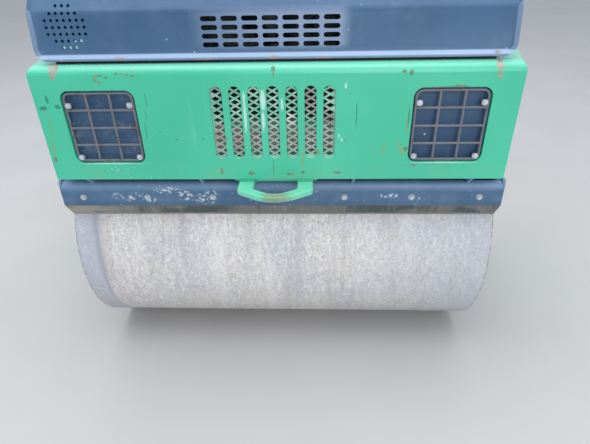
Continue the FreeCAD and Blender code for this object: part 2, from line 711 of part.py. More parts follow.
def hood_profile(shrink, low):
    """Hood's side view, through the whole width."""
    rear = -HOOD_REAR_Y + 2 * PAST
    top = HOOD_TOP_Z - shrink
    rows = [(-HOOD_FRONT_Y + shrink, low, 0), (rear, low, 0), (rear, top, 0),
            (-HOOD_BROW_Y + HOOD_CROWN, top, HOOD_CROWN_ROUND),
            (-HOOD_BROW_Y + shrink, HOOD_BROW_Z - shrink / 2, HOOD_CROWN_ROUND),
            (-HOOD_FRONT_Y + shrink, HOOD_BEND_Z - shrink / 3, HOOD_BEND_ROUND)]
    return plate_x(rows, -SIDE_OUT, SIDE_OUT)


def hood_vents():
    """Cutters of the two groups of vents, on the face and on the slope above, and of the perforations."""
    reach = (VENT_LENGTH - VENT_HEIGHT) / 2
    ends = facets(VENT_HEIGHT / 2, -90, 90, VENT_END_FACETS)
    rows = [(reach + u, v, 0) for u, v in ends] + [(-reach - u, -v, 0) for u, v in ends]
    vent = plate_y(rows, -PAST, PAST)
    hole_rows = [(u, v, 0) for u, v in facets(PERFORATION_RADIUS, 0, 360, PERFORATION_FACETS)[1:]]
    hole = plate_y(hole_rows, -PAST, 2 * PAST)
    slope = math.atan2(HOOD_BROW_SLOPE, HOOD_BROW_Z - HOOD_BEND_Z)
    turned = vent.rotated(ORIGIN, V(1, 0, 0), -math.degrees(slope))
    uphill = V(0, math.sin(slope), math.cos(slope))
    cutters = []
    for row in range(VENT_ROWS):
        on_face = V(0, -HOOD_FRONT_Y, VENT_LOW_Z + row * VENT_ROW_PITCH)
        on_slope = V(0, -HOOD_FRONT_Y, HOOD_BEND_Z) + uphill * (VENT_SLOPE_START + row * VENT_ROW_PITCH)
        for column in range(VENT_COLUMNS):
            over = V((column - (VENT_COLUMNS - 1) / 2) * VENT_PITCH, 0, 0)
            cutters += [vent.translated(on_face + over), turned.translated(on_slope + over)]
    for row, count in enumerate(PERFORATION_ROWS):
        z = PERFORATION_Z + (row - (len(PERFORATION_ROWS) - 1) / 2) * PERFORATION_PITCH
        for column in range(count):
            x = PERFORATION_X + (column - (count - 1) / 2) * PERFORATION_PITCH
            cutters.append(hole.translated(V(x, -HOOD_FRONT_Y, z)))
    return cutters


def hinge_leaf_span(side):
    """X of the hood's own hinge knuckle on one side."""
    return sorted((side * HINGE_X, side * (HINGE_X - HINGE_KNUCKLE)))


def hood_brim():
    """Flared edge round the hood's face and up its slope, half of it made and mirrored."""
    lean = math.atan2(HOOD_HALF_LOW - HOOD_HALF_HIGH, HOOD_TOP_Z - HOOD_LOW_Z)
    out, up = V(math.cos(lean), 0, math.sin(lean)), V(-math.sin(lean), 0, math.cos(lean))
    ahead, down = V(0, -1, 0), V(0, 0, -1)
    half = HOOD_HALF_LOW + BRIM_OUT
    inward = BRIM_CORNER * (1 + math.sin(lean)) / math.cos(lean)
    centre = V(half - inward, -HOOD_FRONT_Y, HOOD_LOW_Z + BRIM_CORNER)

    def section(edge, away):
        rows = [(-BRIM_WIDTH, -HOOD_SKIN / 2), (-BRIM_WIDTH, 0), (-BRIM_EDGE, BRIM_PROUD), (0, BRIM_PROUD),
                (0, -BRIM_DEPTH)]
        points = [edge + away * u + ahead * v for u, v in rows]
        return Part.Face(Part.makePolygon(points + points[:1]))

    beside = centre + out * BRIM_CORNER
    bend = beside + up * ((HOOD_BEND_Z - beside.z) / up.z)
    slope = up * ((HOOD_BROW_Z - HOOD_BEND_Z) / up.z) - ahead * HOOD_BROW_SLOPE
    corner = section(beside, out).revolve(centre, ahead, -90 - math.degrees(lean))
    low = section(centre + down * BRIM_CORNER, down).extrude(V(-centre.x, 0, 0))
    side = section(beside, out).extrude(bend - beside)
    brow = section(bend, out).extrude(slope * HOOD_BRIM_SHARE)
    return both_sides(joined([corner, low, side, brow]))


def hood():
    """Shell open below and behind, with a brim round its front and a knuckle on each hinge."""
    outside = hood_section(0, HOOD_LOW_Z, -HOOD_FRONT_Y, -HOOD_REAR_Y)
    outside = outside.common(hood_profile(0, HOOD_LOW_Z - PAST))
    inside = hood_section(-HOOD_SKIN, HOOD_LOW_Z - HOOD_CROWN_ROUND, -HOOD_FRONT_Y, -HOOD_REAR_Y + PAST)
    inside = inside.common(hood_profile(HOOD_SKIN, HOOD_LOW_Z - HOOD_CROWN))
    pieces = [outside.cut([inside] + hood_vents())] + hood_brim().Solids
    over = V(0, HINGE_LINE.y, HINGE_LINE.z)
    for side in (1, -1):
        x = hinge_leaf_span(side)
        pieces.append(block(x, (-HOOD_REAR_Y - HINGE_LEAF_LENGTH, -HOOD_REAR_Y),
                            (HOOD_TOP_Z - HOOD_SKIN / 2, HOOD_TOP_Z + HINGE_LEAF)))
        pieces.append(bar(HINGE_RADIUS, over + V(x[0], 0, 0), over + V(x[1], 0, 0)))
    bore = bar(HINGE_PIN_RADIUS + RUNNING_GAP, over - V(SIDE_OUT, 0, 0), over + V(SIDE_OUT, 0, 0))
    return joined(pieces).cut(bore)


def cowl():
    """Fixed bulkhead behind the hood, with the outer hinge knuckles and the pins."""
    front = -HOOD_REAR_Y + COWL_GAP
    pieces = [hood_section(0, SHELF_Z, front, front + COWL_THICK, 0)]
    for side in (1, -1):
        for start in (HINGE_X + FACE_GAP, HINGE_X - 2 * HINGE_KNUCKLE - FACE_GAP):
            x = sorted((side * start, side * (start + HINGE_KNUCKLE)))
            pieces.append(bar(HINGE_RADIUS, HINGE_LINE + V(x[0], 0, 0), HINGE_LINE + V(x[1], 0, 0)))
            pieces.append(block(x, (front, front + COWL_THICK), (HOOD_TOP_Z - HINGE_LEAF, HINGE_LINE.z)))
        pin = [HINGE_LINE + V(side * x, 0, 0) for x in (HINGE_X + HINGE_KNUCKLE, HINGE_X - 2 * HINGE_KNUCKLE)]
        pieces.append(bar(HINGE_PIN_RADIUS, *pin))
    return joined(pieces)


def hood_buffers():
    """Rubber stops on the shelves, under the hood's sides."""
    x = HOOD_HALF_LOW - HOOD_CORNER_LOW + BUFFER_RADIUS / 2
    foot = V(x, -HOOD_FRONT_Y + BUFFER_FRONT, SHELF_Z)
    rear_foot = V(x, -HOOD_REAR_Y - BUFFER_REAR, SHELF_Z)
    height = V(0, 0, HOOD_LOW_Z - SHELF_Z - SEAT_GAP)
    posts = [bar(BUFFER_RADIUS, point, point + height) for point in (foot, rear_foot)]
    return both_sides(Part.makeCompound(posts))


def radiator():
    front = -END_FACE_Y + SHEET + RADIATOR_GAP
    return block((-RADIATOR_HALF, RADIATOR_HALF), (front, front + RADIATOR_THICK),
                 (DECK_Z + DECK_THICK, SHELF_Z - PAST))


def engine():
    """One plain block on a narrower sump."""
    base = DECK_Z + DECK_THICK
    shoulder = base + SUMP_HEIGHT
    return joined([block((-SUMP_HALF, SUMP_HALF), (-ENGINE_FRONT_Y, -ENGINE_REAR_Y), (base, shoulder)),
                   block((-ENGINE_HALF, ENGINE_HALF),
                         (-ENGINE_FRONT_Y + SUMP_OVERHANG, -ENGINE_REAR_Y - SUMP_OVERHANG),
                         (shoulder, HOOD_TOP_Z - ENGINE_HEAD_ROOM))])


def cross_wall(y, top_z, top_cut):
    """Wall across the frame at the centre joint; y is its low side."""
    haunch_z = WALL_LOW_Z + WALL_HAUNCH
    haunch_x = SIDE_IN - WALL_HAUNCH_X
    rows = [(-SIDE_IN, haunch_z, 0), (-haunch_x, WALL_LOW_Z, LEG_CORNER), (haunch_x, WALL_LOW_Z, LEG_CORNER),
            (SIDE_IN, haunch_z, 0), (SIDE_IN, top_z - top_cut, 0), (SIDE_IN - top_cut, top_z, 0),
            (-SIDE_IN + top_cut, top_z, 0), (-SIDE_IN, top_z - top_cut, 0)]
    return plate_y(rows, y, y + WALL_THICK)


# Centre joint

def ear_levels():
    """Low faces of the lower and upper ear round a cylinder's eye."""
    return ROLL_Z - EYE_THICK / 2 - FACE_GAP - EAR_THICK, ROLL_Z + EYE_THICK / 2 + FACE_GAP


def front_cross_wall():
    """Wall with the two steering lugs and the bracket of the steering cylinder."""
    root = -FRONT_WALL_Y
    pieces = [cross_wall(root - WALL_THICK, SHELF_Z - SHEET, WALL_TOP_CUT)]
    lug = [(-LUG_ROOT_HALF, root, 0), (LUG_ROOT_HALF, root, 0), (LUG_NOSE, -LUG_NECK_Y, LUG_NECK_ROUND),
           (LUG_NOSE, LUG_NOSE, LUG_NOSE - FACE_GAP), (-LUG_NOSE, LUG_NOSE, LUG_NOSE - FACE_GAP),
           (-LUG_NOSE, -LUG_NECK_Y, LUG_NECK_ROUND)]
    for low in (LUG_LOW_Z, LUG_HIGH_Z):
        pieces.append(plate_z(lug, low, low + LUG_THICK))
    ear = [(u, v, 0 if v == root else EAR_RADIUS - FACE_GAP) for u, v, radius in
           rectangle((BARREL_PIN.x - EAR_RADIUS, BARREL_PIN.x + EAR_RADIUS),
                     (root, BARREL_PIN.y + EAR_RADIUS))]
    low, high = ear_levels()
    for level in (low, high):
        pieces.append(plate_z(ear, level, level + EAR_THICK))
    pieces.append(bar(EYE_PIN_RADIUS, V(BARREL_PIN.x, BARREL_PIN.y, low),
                      V(BARREL_PIN.x, BARREL_PIN.y, high + EAR_THICK)))
    return joined(pieces).cut(bar(PIN_RADIUS + RUNNING_GAP, V(0, 0, LUG_LOW_Z - PAST),
                                  V(0, 0, LUG_HIGH_Z + LUG_THICK + PAST)))


def steer_knuckle():
    """Hub and pin between the lugs, the roll shaft behind and the arm of the steering cylinder."""
    def upright(radius, low, high):
        return bar(radius, V(0, 0, low), V(0, 0, high))

    def rearward(radius, near, far):
        return bar(radius, V(0, near, ROLL_Z), V(0, far, ROLL_Z))

    under, over = LUG_LOW_Z - FACE_GAP, LUG_HIGH_Z + LUG_THICK + FACE_GAP
    axis_end = REAR_WALL_Y + WALL_THICK + FACE_GAP + RETAINER_THICK
    pieces = [upright(HUB_RADIUS, LUG_LOW_Z + LUG_THICK + FACE_GAP, LUG_HIGH_Z - FACE_GAP),
              upright(PIN_RADIUS, under - PIN_HEAD_THICK, over + PIN_HEAD_THICK),
              upright(PIN_HEAD, under - PIN_HEAD_THICK, under),
              upright(PIN_HEAD, over, over + PIN_HEAD_THICK),
              rearward(ROLL_RADIUS, 0, axis_end),
              rearward(RETAINER_RADIUS, axis_end - RETAINER_THICK, axis_end),
              rearward(ROLL_COLLAR, PIN_RADIUS, ROLL_HOUSING_Y - FACE_GAP)]
    flat = V(ROD_EYE.x, ROD_EYE.y, 0)
    side = V(-flat.y, flat.x, 0).normalize() * ARM_HALF
    corners = [(p.x, p.y, 0) for p in (side, flat + side, flat - side, -side)]
    for level in ear_levels():
        foot = flat + V(0, 0, level)
        pieces.append(bar(EAR_RADIUS, foot, foot + V(0, 0, EAR_THICK)))
        pieces.append(plate_z(corners, level, level + EAR_THICK))
    return joined(pieces)


def along_cylinder(distance):
    return BARREL_PIN + (ROD_EYE - BARREL_PIN).normalize() * distance


def eye(centre):
    half = V(0, 0, EYE_THICK / 2)
    return bar(EYE_RADIUS, centre - half, centre + half)


def steer_barrel():
    """Barrel with a gland collar at its open end and a bored eye at the other."""
    through = V(0, 0, EYE_THICK)
    body = joined([eye(BARREL_PIN), bar(NECK_RADIUS, BARREL_PIN, along_cylinder(BARREL_START + PAST)),
                   bar(BARREL_RADIUS, along_cylinder(BARREL_START), along_cylinder(BARREL_END)),
                   bar(BARREL_CAP_RADIUS, along_cylinder(BARREL_END - BARREL_CAP),
                       along_cylinder(BARREL_END))])
    body = body.cut(bar(EYE_PIN_RADIUS + RUNNING_GAP, BARREL_PIN - through, BARREL_PIN + through))
    bore = bar(ROD_RADIUS + RUNNING_GAP, along_cylinder(BARREL_BORE_START), along_cylinder(BARREL_END + PAST))
    return body.cut(bore)


def steer_rod():
    """Rod whose thin neck reaches between the knuckle's ears to its eye."""
    length = (ROD_EYE - BARREL_PIN).Length
    return joined([bar(ROD_RADIUS, along_cylinder(ROD_START), along_cylinder(length - ROD_NECK)),
                   bar(NECK_RADIUS, along_cylinder(length - ROD_NECK - BITE), along_cylinder(length)),
                   eye(ROD_EYE)])


# Rear frame only

def rear_cross_wall():
    """Wall with the long bearing of the roll shaft and a rib each side of it."""
    rib = [(ROLL_HOUSING - BITE, ROLL_HOUSING_Y + PAST, 0), (ROLL_HOUSING - BITE, REAR_WALL_Y + BITE, 0),
           (ROLL_HOUSING + RIB_LENGTH, REAR_WALL_Y + BITE, 0)]
    web = plate_z(rib, ROLL_Z - RIB_THICK / 2, ROLL_Z + RIB_THICK / 2)
    wall = joined([cross_wall(REAR_WALL_Y, PLATFORM_Z, FACE_GAP), web, mirrored_x(web),
                   bar(ROLL_HOUSING, V(0, ROLL_HOUSING_Y, ROLL_Z), V(0, REAR_WALL_Y + BITE, ROLL_Z))])
    return wall.cut(bar(ROLL_RADIUS + RUNNING_GAP, V(0, ROLL_HOUSING_Y - PAST, ROLL_Z),
                        V(0, REAR_WALL_Y + WALL_THICK + PAST, ROLL_Z)))


def platform():
    """Floor plate with turned-down sides, and the step hung under each side."""
    floor = (PLATFORM_Z, PLATFORM_Z + SHEET)
    pieces = [block((-PLATFORM_HALF, PLATFORM_HALF), (PLATFORM_FRONT_Y, RISER_Y), floor),
              block((-SIDE_OUT, SIDE_OUT), (REAR_WALL_Y + PAST, RISER_Y), floor)]
    straps = (STEP_Y[0], STEP_Y[1] - STEP_STRAP)
    for side in (1, -1):
        edge = sorted((side * PLATFORM_HALF, side * (PLATFORM_HALF - SHEET)))
        pieces.append(block(edge, (PLATFORM_FRONT_Y, REAR_WALL_Y - PAST),
                            (PLATFORM_Z - PLATFORM_SKIRT, PLATFORM_Z)))
        for y in straps:
            pieces.append(block(edge, (y, y + STEP_STRAP), (STEP_Z, PLATFORM_Z)))
        tread = sorted((side * (PLATFORM_HALF - SHEET), side * (PLATFORM_HALF + STEP_WIDTH)))
        pieces.append(block(tread, STEP_Y, (STEP_Z, STEP_Z + STEP_THICK)))
    return joined(pieces)


def rear_top():
    """Seat riser and the lid that closes the rear box."""
    lid = plate_z(floor_plan(SHELF_WIDTH, SHELF_WIDTH, RISER_Y), SHELF_Z - SHEET, SHELF_Z)
    lid_half = max(abs(vertex.X) for vertex in lid.Vertexes)
    low_riser = (-RISER_Y - SHEET, -RISER_Y)
    riser = block((-SIDE_IN, SIDE_IN), low_riser, (PLATFORM_Z + SHEET, SHELF_Z - SHELF_BEND))
    neck = block((-lid_half, lid_half), low_riser, (SHELF_Z - LID_LIP, SHELF_Z - FACE_GAP))
    return to_rear(joined([riser, lid, neck]))


def column_point(distance):
    return COLUMN_BASE + V(0, math.sin(COLUMN_LEAN), math.cos(COLUMN_LEAN)) * distance


def console():
    """Pedestal with a sloping dash and the steering column."""
    floor = PLATFORM_Z + SHEET
    front, rear = CONSOLE_FLOOR_Y
    rows = [(front, floor, 0), (rear, floor, 0), (*CONSOLE_DASH_LOW, CONSOLE_ROUND),
            (*CONSOLE_DASH_HIGH, CONSOLE_ROUND / 2), (*CONSOLE_BACK_HIGH, CONSOLE_ROUND)]
    shaft_end = COLUMN_LENGTH + WHEEL_HUB_LENGTH - WHEEL_HUB_FLOOR
    return joined([plate_x(rows, -CONSOLE_HALF, CONSOLE_HALF),
                   bar(COLUMN_RADIUS, column_point(-COLUMN_ROOT), column_point(COLUMN_LENGTH)),
                   bar(SHAFT_RADIUS, column_point(0), column_point(shaft_end))])


def steering_wheel():
    """Rim of flat facets round three spokes and a hub that is bored from below."""
    base = column_point(COLUMN_LENGTH + FACE_GAP)
    up = (column_point(1) - COLUMN_BASE).normalize()
    across = V(1, 0, 0)
    other = up.cross(across)
    middle = base + up * (WHEEL_HUB_LENGTH / 2)
    rim_centre = middle + up * WHEEL_DISH
    half_flat = 180 / WHEEL_RIM_FACETS
    corners = [rim_centre + across * (WHEEL_RADIUS + u) + up * v
               for u, v in facets(WHEEL_RIM, half_flat, 360 + half_flat, WHEEL_RIM_FACETS)]
    pieces = [bar(WHEEL_HUB, base, base + up * WHEEL_HUB_LENGTH),
              Part.Face(Part.makePolygon(corners)).revolve(rim_centre, up, 360)]
    for i in range(SPOKE_COUNT):
        angle = math.radians(90 + 360 / SPOKE_COUNT * i)
        reach = across * math.cos(angle) + other * math.sin(angle)
        pieces.append(bar(SPOKE_RADIUS, middle + reach * (WHEEL_HUB / 2), rim_centre + reach * WHEEL_RADIUS))
    bore = bar(SHAFT_RADIUS + RUNNING_GAP, base - up * PAST, base + up * (WHEEL_HUB_LENGTH - WHEEL_HUB_FLOOR))
    return joined(pieces).cut(bore)


def drive_lever():
    """Lever with a tapered knob, on a pivot at the console's side."""
    pivot = LEVER_PIVOT + V(CONSOLE_HALF, 0, 0)
    foot = pivot + V(LEVER_OFFSET, 0, 0)
    up = V(*LEVER_REACH).normalize()
    tip = foot + LEVER_REACH
    return joined([bar(LEVER_PIVOT_RADIUS, pivot, pivot + V(LEVER_PIVOT_LENGTH, 0, 0)),
                   bar(LEVER_RADIUS, foot, tip),
                   Part.makeCone(KNOB_NECK, KNOB_RADIUS, KNOB_HEIGHT, tip - up * (KNOB_HEIGHT / 2), up)])


def seat_frame():
    """Pedestal, pan and the two bars behind the backrest."""
    low, high = PEDESTAL_LOW_Y, PEDESTAL_HIGH_Y
    rows = [(low[0], SHELF_Z, 0), (low[1], SHELF_Z, 0), (high[1], SEAT_PAN_Z, 0), (high[0], SEAT_PAN_Z, 0)]
    pan_half = SEAT_HALF - SEAT_PAN_INSET
    back = SEAT_REAR_Y + SEAT_GAP
    pieces = [plate_x(rows, -PEDESTAL_HALF, PEDESTAL_HALF),
              block((-pan_half, pan_half), (SEAT_FRONT_Y + SEAT_PAN_INSET, back + BACK_BAR_THICK),
                    (SEAT_PAN_Z, SEAT_PAN_Z + SEAT_PAN_THICK))]
    strip = block(BACK_BARS_X, (back, back + BACK_BAR_THICK), (SEAT_PAN_Z, SEAT_PAN_Z + BACK_BAR_HEIGHT))
    return joined(pieces + [strip, mirrored_x(strip)])


def seat_cushion():
    low = SEAT_PAN_Z + SEAT_PAN_THICK + SEAT_GAP
    rows = rectangle((-SEAT_HALF, SEAT_HALF), (SEAT_FRONT_Y, SEAT_REAR_Y), SEAT_ROUND)
    return plate_z(rows, low, low + CUSHION_THICK)


def seat_back():
    low = SEAT_PAN_Z + SEAT_PAN_THICK + CUSHION_THICK + BACK_GAP
    rows = rectangle((-BACK_HALF, BACK_HALF), (low, low + BACK_HEIGHT), BACK_ROUND)
    return plate_y(rows, SEAT_REAR_Y - BACK_THICK, SEAT_REAR_Y)


def hand_rails():
    """A bent tube of flat facets each side of the seat, on round flanges."""
    section = facets(RAIL_RADIUS, 0, 360, RAIL_FACETS)
    upright = Part.Face(Part.makePolygon([V(u, v, 0) for u, v in section]))
    level = Part.Face(Part.makePolygon([V(u, 0, v) for u, v in section]))
    start = V(RAIL_X, RAIL_Y[0] + RAIL_BEND, RAIL_TOP_Z)
    pieces = [level.translated(start).extrude(V(0, RAIL_Y[1] - RAIL_Y[0] - 2 * RAIL_BEND, 0))]
    for y, inward in ((RAIL_Y[0], 1), (RAIL_Y[1], -1)):
        foot = V(RAIL_X, y, SHELF_Z)
        rise = V(0, 0, RAIL_TOP_Z - RAIL_BEND - SHELF_Z)
        bend_centre = foot + rise + V(0, inward * RAIL_BEND, 0)
        pieces.append(upright.translated(foot).extrude(rise))
        pieces.append(upright.translated(foot + rise).revolve(bend_centre, V(-inward, 0, 0), 90))
        pieces.append(bar(FLANGE_RADIUS, foot, foot + V(0, 0, FLANGE_THICK)))
    return both_sides(joined(pieces))


def water_tank():
    """Flat tank with rounded edges and a filler neck."""
    top_z = SHELF_Z + TANK_HEIGHT
    body = block((-TANK_HALF, TANK_HALF), (TANK_FRONT_Y, TANK_FRONT_Y + TANK_DEPTH), (SHELF_Z, top_z))
    edges = [edge for edge in body.Edges
             if max(v.Z for v in edge.Vertexes) > top_z - 1e-6
             and edge.Vertexes[0].Y == edge.Vertexes[-1].Y]
    body = body.makeFillet(TANK_ROUND, edges)
    return joined([body, bar(FILLER_RADIUS, FILLER - V(0, 0, BITE), FILLER + V(0, 0, FILLER_HEIGHT))])


def tank_cap():
    base = FILLER + V(0, 0, FILLER_HEIGHT)
    top = base + V(0, 0, CAP_HEIGHT)
    grip = CAP_RADIUS - CAP_GRIP
    return joined([bar(CAP_RADIUS, base, top),
                   block((top.x - grip, top.x + grip), (top.y - CAP_GRIP, top.y + CAP_GRIP),
                         (top.z, top.z + CAP_GRIP_HEIGHT))])


os.makedirs("parts", exist_ok=True)

NODES = {
    "front_end_panel": end_panel(slot_cutters()),
    "front_side_plates": side_plates(FRONT_WALL_Y, FRONT_WALL_Y, DECK_Z),
    "front_deck": deck(FRONT_WALL_Y + WALL_THICK),
    "front_cross_wall": front_cross_wall(),
    "front_lamp_plates": lamp_plates(),
    "front_lamp_guards": lamp_guards(),
    "front_tow_loop": tow_loop(),
    "front_scraper_beam": scraper_beam(),
    "front_scraper_blade": scraper_blade(),
    "front_spray_bar": spray_bar(),
    "front_hub_mounts": hub_mounts(),
    "front_drum": drum(),
    "screen_mesh": screen_mesh(),
    "radiator": radiator(),
    "engine": engine(),
    "cowl": cowl(),
    "hood_buffers": hood_buffers(),
    "hood": hood(),
    "steer_knuckle": steer_knuckle(),
    "steer_barrel": steer_barrel(),
    "steer_rod": steer_rod(),
    "rear_end_panel": to_rear(end_panel([])),
    "rear_side_plates": to_rear(side_plates(REAR_WALL_Y, RISER_Y, PLATFORM_Z)),
    "rear_deck": to_rear(deck(RISER_Y + SHEET)),
    "rear_cross_wall": rear_cross_wall(),
    "rear_lamp_plates": to_rear(lamp_plates()),
    "rear_lamp_guards": to_rear(lamp_guards()),
    "rear_tow_loop": to_rear(tow_loop()),
    "rear_scraper_beam": to_rear(scraper_beam()),
    "rear_scraper_blade": to_rear(scraper_blade()),
    "rear_spray_bar": to_rear(spray_bar()),
    "rear_hub_mounts": to_rear(hub_mounts()),
    "rear_drum": to_rear(drum()),
    "rear_top": rear_top(),
    "platform": platform(),
    "console": console(),
    "steering_wheel": steering_wheel(),
    "drive_lever": drive_lever(),
    "seat_frame": seat_frame(),
    "seat_cushion": seat_cushion(),
    "seat_back": seat_back(),
    "hand_rails": hand_rails(),
    "water_tank": water_tank(),
    "tank_cap": tank_cap(),
}

for name, shape in NODES.items():
    shape.exportStep("parts/" + name + ".step")
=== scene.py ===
import bmesh
import bpy
import json
import math
import numpy as np
from mathutils import Matrix, Vector
from mathutils.bvhtree import BVHTree

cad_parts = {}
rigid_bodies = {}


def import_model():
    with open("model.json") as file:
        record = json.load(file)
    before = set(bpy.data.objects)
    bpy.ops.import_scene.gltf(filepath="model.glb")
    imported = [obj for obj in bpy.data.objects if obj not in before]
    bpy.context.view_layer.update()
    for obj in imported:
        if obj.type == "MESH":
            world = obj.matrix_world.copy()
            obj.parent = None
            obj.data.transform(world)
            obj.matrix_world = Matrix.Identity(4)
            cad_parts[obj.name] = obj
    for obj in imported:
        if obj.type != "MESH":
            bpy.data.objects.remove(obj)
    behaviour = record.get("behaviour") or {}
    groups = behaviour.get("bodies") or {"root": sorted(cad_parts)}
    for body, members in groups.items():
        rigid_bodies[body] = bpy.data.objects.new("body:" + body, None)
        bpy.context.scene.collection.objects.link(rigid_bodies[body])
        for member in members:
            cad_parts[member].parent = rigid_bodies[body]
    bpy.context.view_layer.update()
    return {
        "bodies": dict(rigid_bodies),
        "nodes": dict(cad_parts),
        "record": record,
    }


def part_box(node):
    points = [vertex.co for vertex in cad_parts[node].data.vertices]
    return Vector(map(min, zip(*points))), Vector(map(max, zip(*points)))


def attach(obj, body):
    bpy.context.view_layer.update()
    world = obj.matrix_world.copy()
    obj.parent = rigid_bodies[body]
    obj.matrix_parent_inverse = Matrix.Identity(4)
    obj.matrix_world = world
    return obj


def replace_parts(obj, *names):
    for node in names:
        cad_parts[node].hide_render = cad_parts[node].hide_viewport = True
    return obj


# Looks of the articulated road roller. Metres, X across, -Y the engine end, +Z up.

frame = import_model()
NODES = frame["nodes"]
SLOT_OF = {part["node"]: part["material_slot"] for part in frame["record"]["subparts"]}
BODY_OF = {node: body for body, empty in frame["bodies"].items() for node, item in NODES.items()
           if item.parent is empty}

# Camera of the photograph
IMAGE_WIDTH = 590
FOCAL_PIXELS = 467.342475
SENSOR = 36.0
CAMERA_PLACE = Vector((0.0990, -2.3177, 1.1706))
CAMERA_YAW = -0.0489019
CAMERA_DOWN = 0.5345499
CAMERA_ROLL = -0.0232213


def low(node):
    return np.array(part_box(node)[0])


def high(node):
    return np.array(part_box(node)[1])


# Driving sizes, read from the frame; lengths along Y are distances from the centre joint
FACE = -low("front_end_panel")[1]
SHELF = high("front_end_panel")[2]
BEAM_FACE = FACE - 0.036
AXLE = -(low("front_drum") + high("front_drum"))[1] / 2
AXLE_Z = high("front_drum")[2] / 2
HOOD_FACE = -low("hood")[1] - 0.006
HOOD_FOOT = low("hood")[2]
BLADE_FOOT = low("front_scraper_blade")[2]
FLOOR_PLATE = high("platform")[2]
WALL = -high("front_side_plates")[1]

# Sizes that the frame doesn't hold
JOINT_Z = 0.447
DRUM_WEB = 0.490
DRUM_WEB_SEAM = 0.3315
CORNER_WELD = 0.609
LAMP_BOLTS = [(x, z) for x in (0.3415, 0.4905) for z in (0.7185, 0.8505)]
GUARD_IN, GUARD_OUT, GUARD_ROUND = 0.331, 0.502, 0.018
SIDES = (1, -1)
UP, BACK = (0, 0, 1), (0, 1, 0)


# Shader maths

class Shade:
    """One output of a shader node; arithmetic on it adds Math nodes."""

    def __init__(self, tree, socket):
        self.tree, self.socket = tree, socket

    def node(self, kind, settings=None, inputs=None, output=0):
        """Adds a node of that kind: its settings first, then the values or links of its inputs."""
        node = self.tree.nodes.new("ShaderNode" + kind)
        for name, value in (settings or {}).items():
            setattr(node, name, value)
        for key, value in (inputs or {}).items():
            if isinstance(value, Shade):
                self.tree.links.new(value.socket, node.inputs[key])
            else:
                node.inputs[key].default_value = value
        return Shade(self.tree, node.outputs[output])

    def maths(self, operation, *values):
        return self.node("Math", {"operation": operation}, dict(enumerate(values)))

    def __add__(self, other):
        return self.maths("ADD", self, other)

    def __sub__(self, other):
        return self.maths("SUBTRACT", self, other)

    def __rsub__(self, other):
        return self.maths("SUBTRACT", other, self)

    def __mul__(self, other):
        return self.maths("MULTIPLY", self, other)

    __radd__ = __add__
    __rmul__ = __mul__

    def most(self, other):
        return self.maths("MAXIMUM", self, other)

    def least(self, other):
        return self.maths("MINIMUM", self, other)

    def size(self):
        return self.maths("ABSOLUTE", self)

    def step(self, start, end):
        """0 up to start, 1 from end, smooth between; the other way round where end is lower."""
        low_end, high_end = sorted((start, end))
        rise = self.node("MapRange", {"interpolation_type": "SMOOTHSTEP"},
                         {"Value": self, "From Min": low_end, "From Max": high_end})
        return rise if start < end else 1 - rise

    def mix(self, first, second):
        """Colour between first and second by this value."""
        return self.node("Mix", {"data_type": "RGBA"}, {0: self, 6: first, 7: second}, 2)


def linear(red, green, blue):
    """Linear colour of 8-bit screen values."""
    def channel(value):
        value /= 255
        return value / 12.92 if value <= 0.04045 else ((value + 0.055) / 1.055) ** 2.4
    return (channel(red), channel(green), channel(blue), 1.0)


def darker(colour, share):
    return tuple(share * c for c in colour[:3]) + (1.0,)


def mixed(value, first, second):
    """Colour between two screen colours by a value."""
    return value.mix(linear(*first), linear(*second))


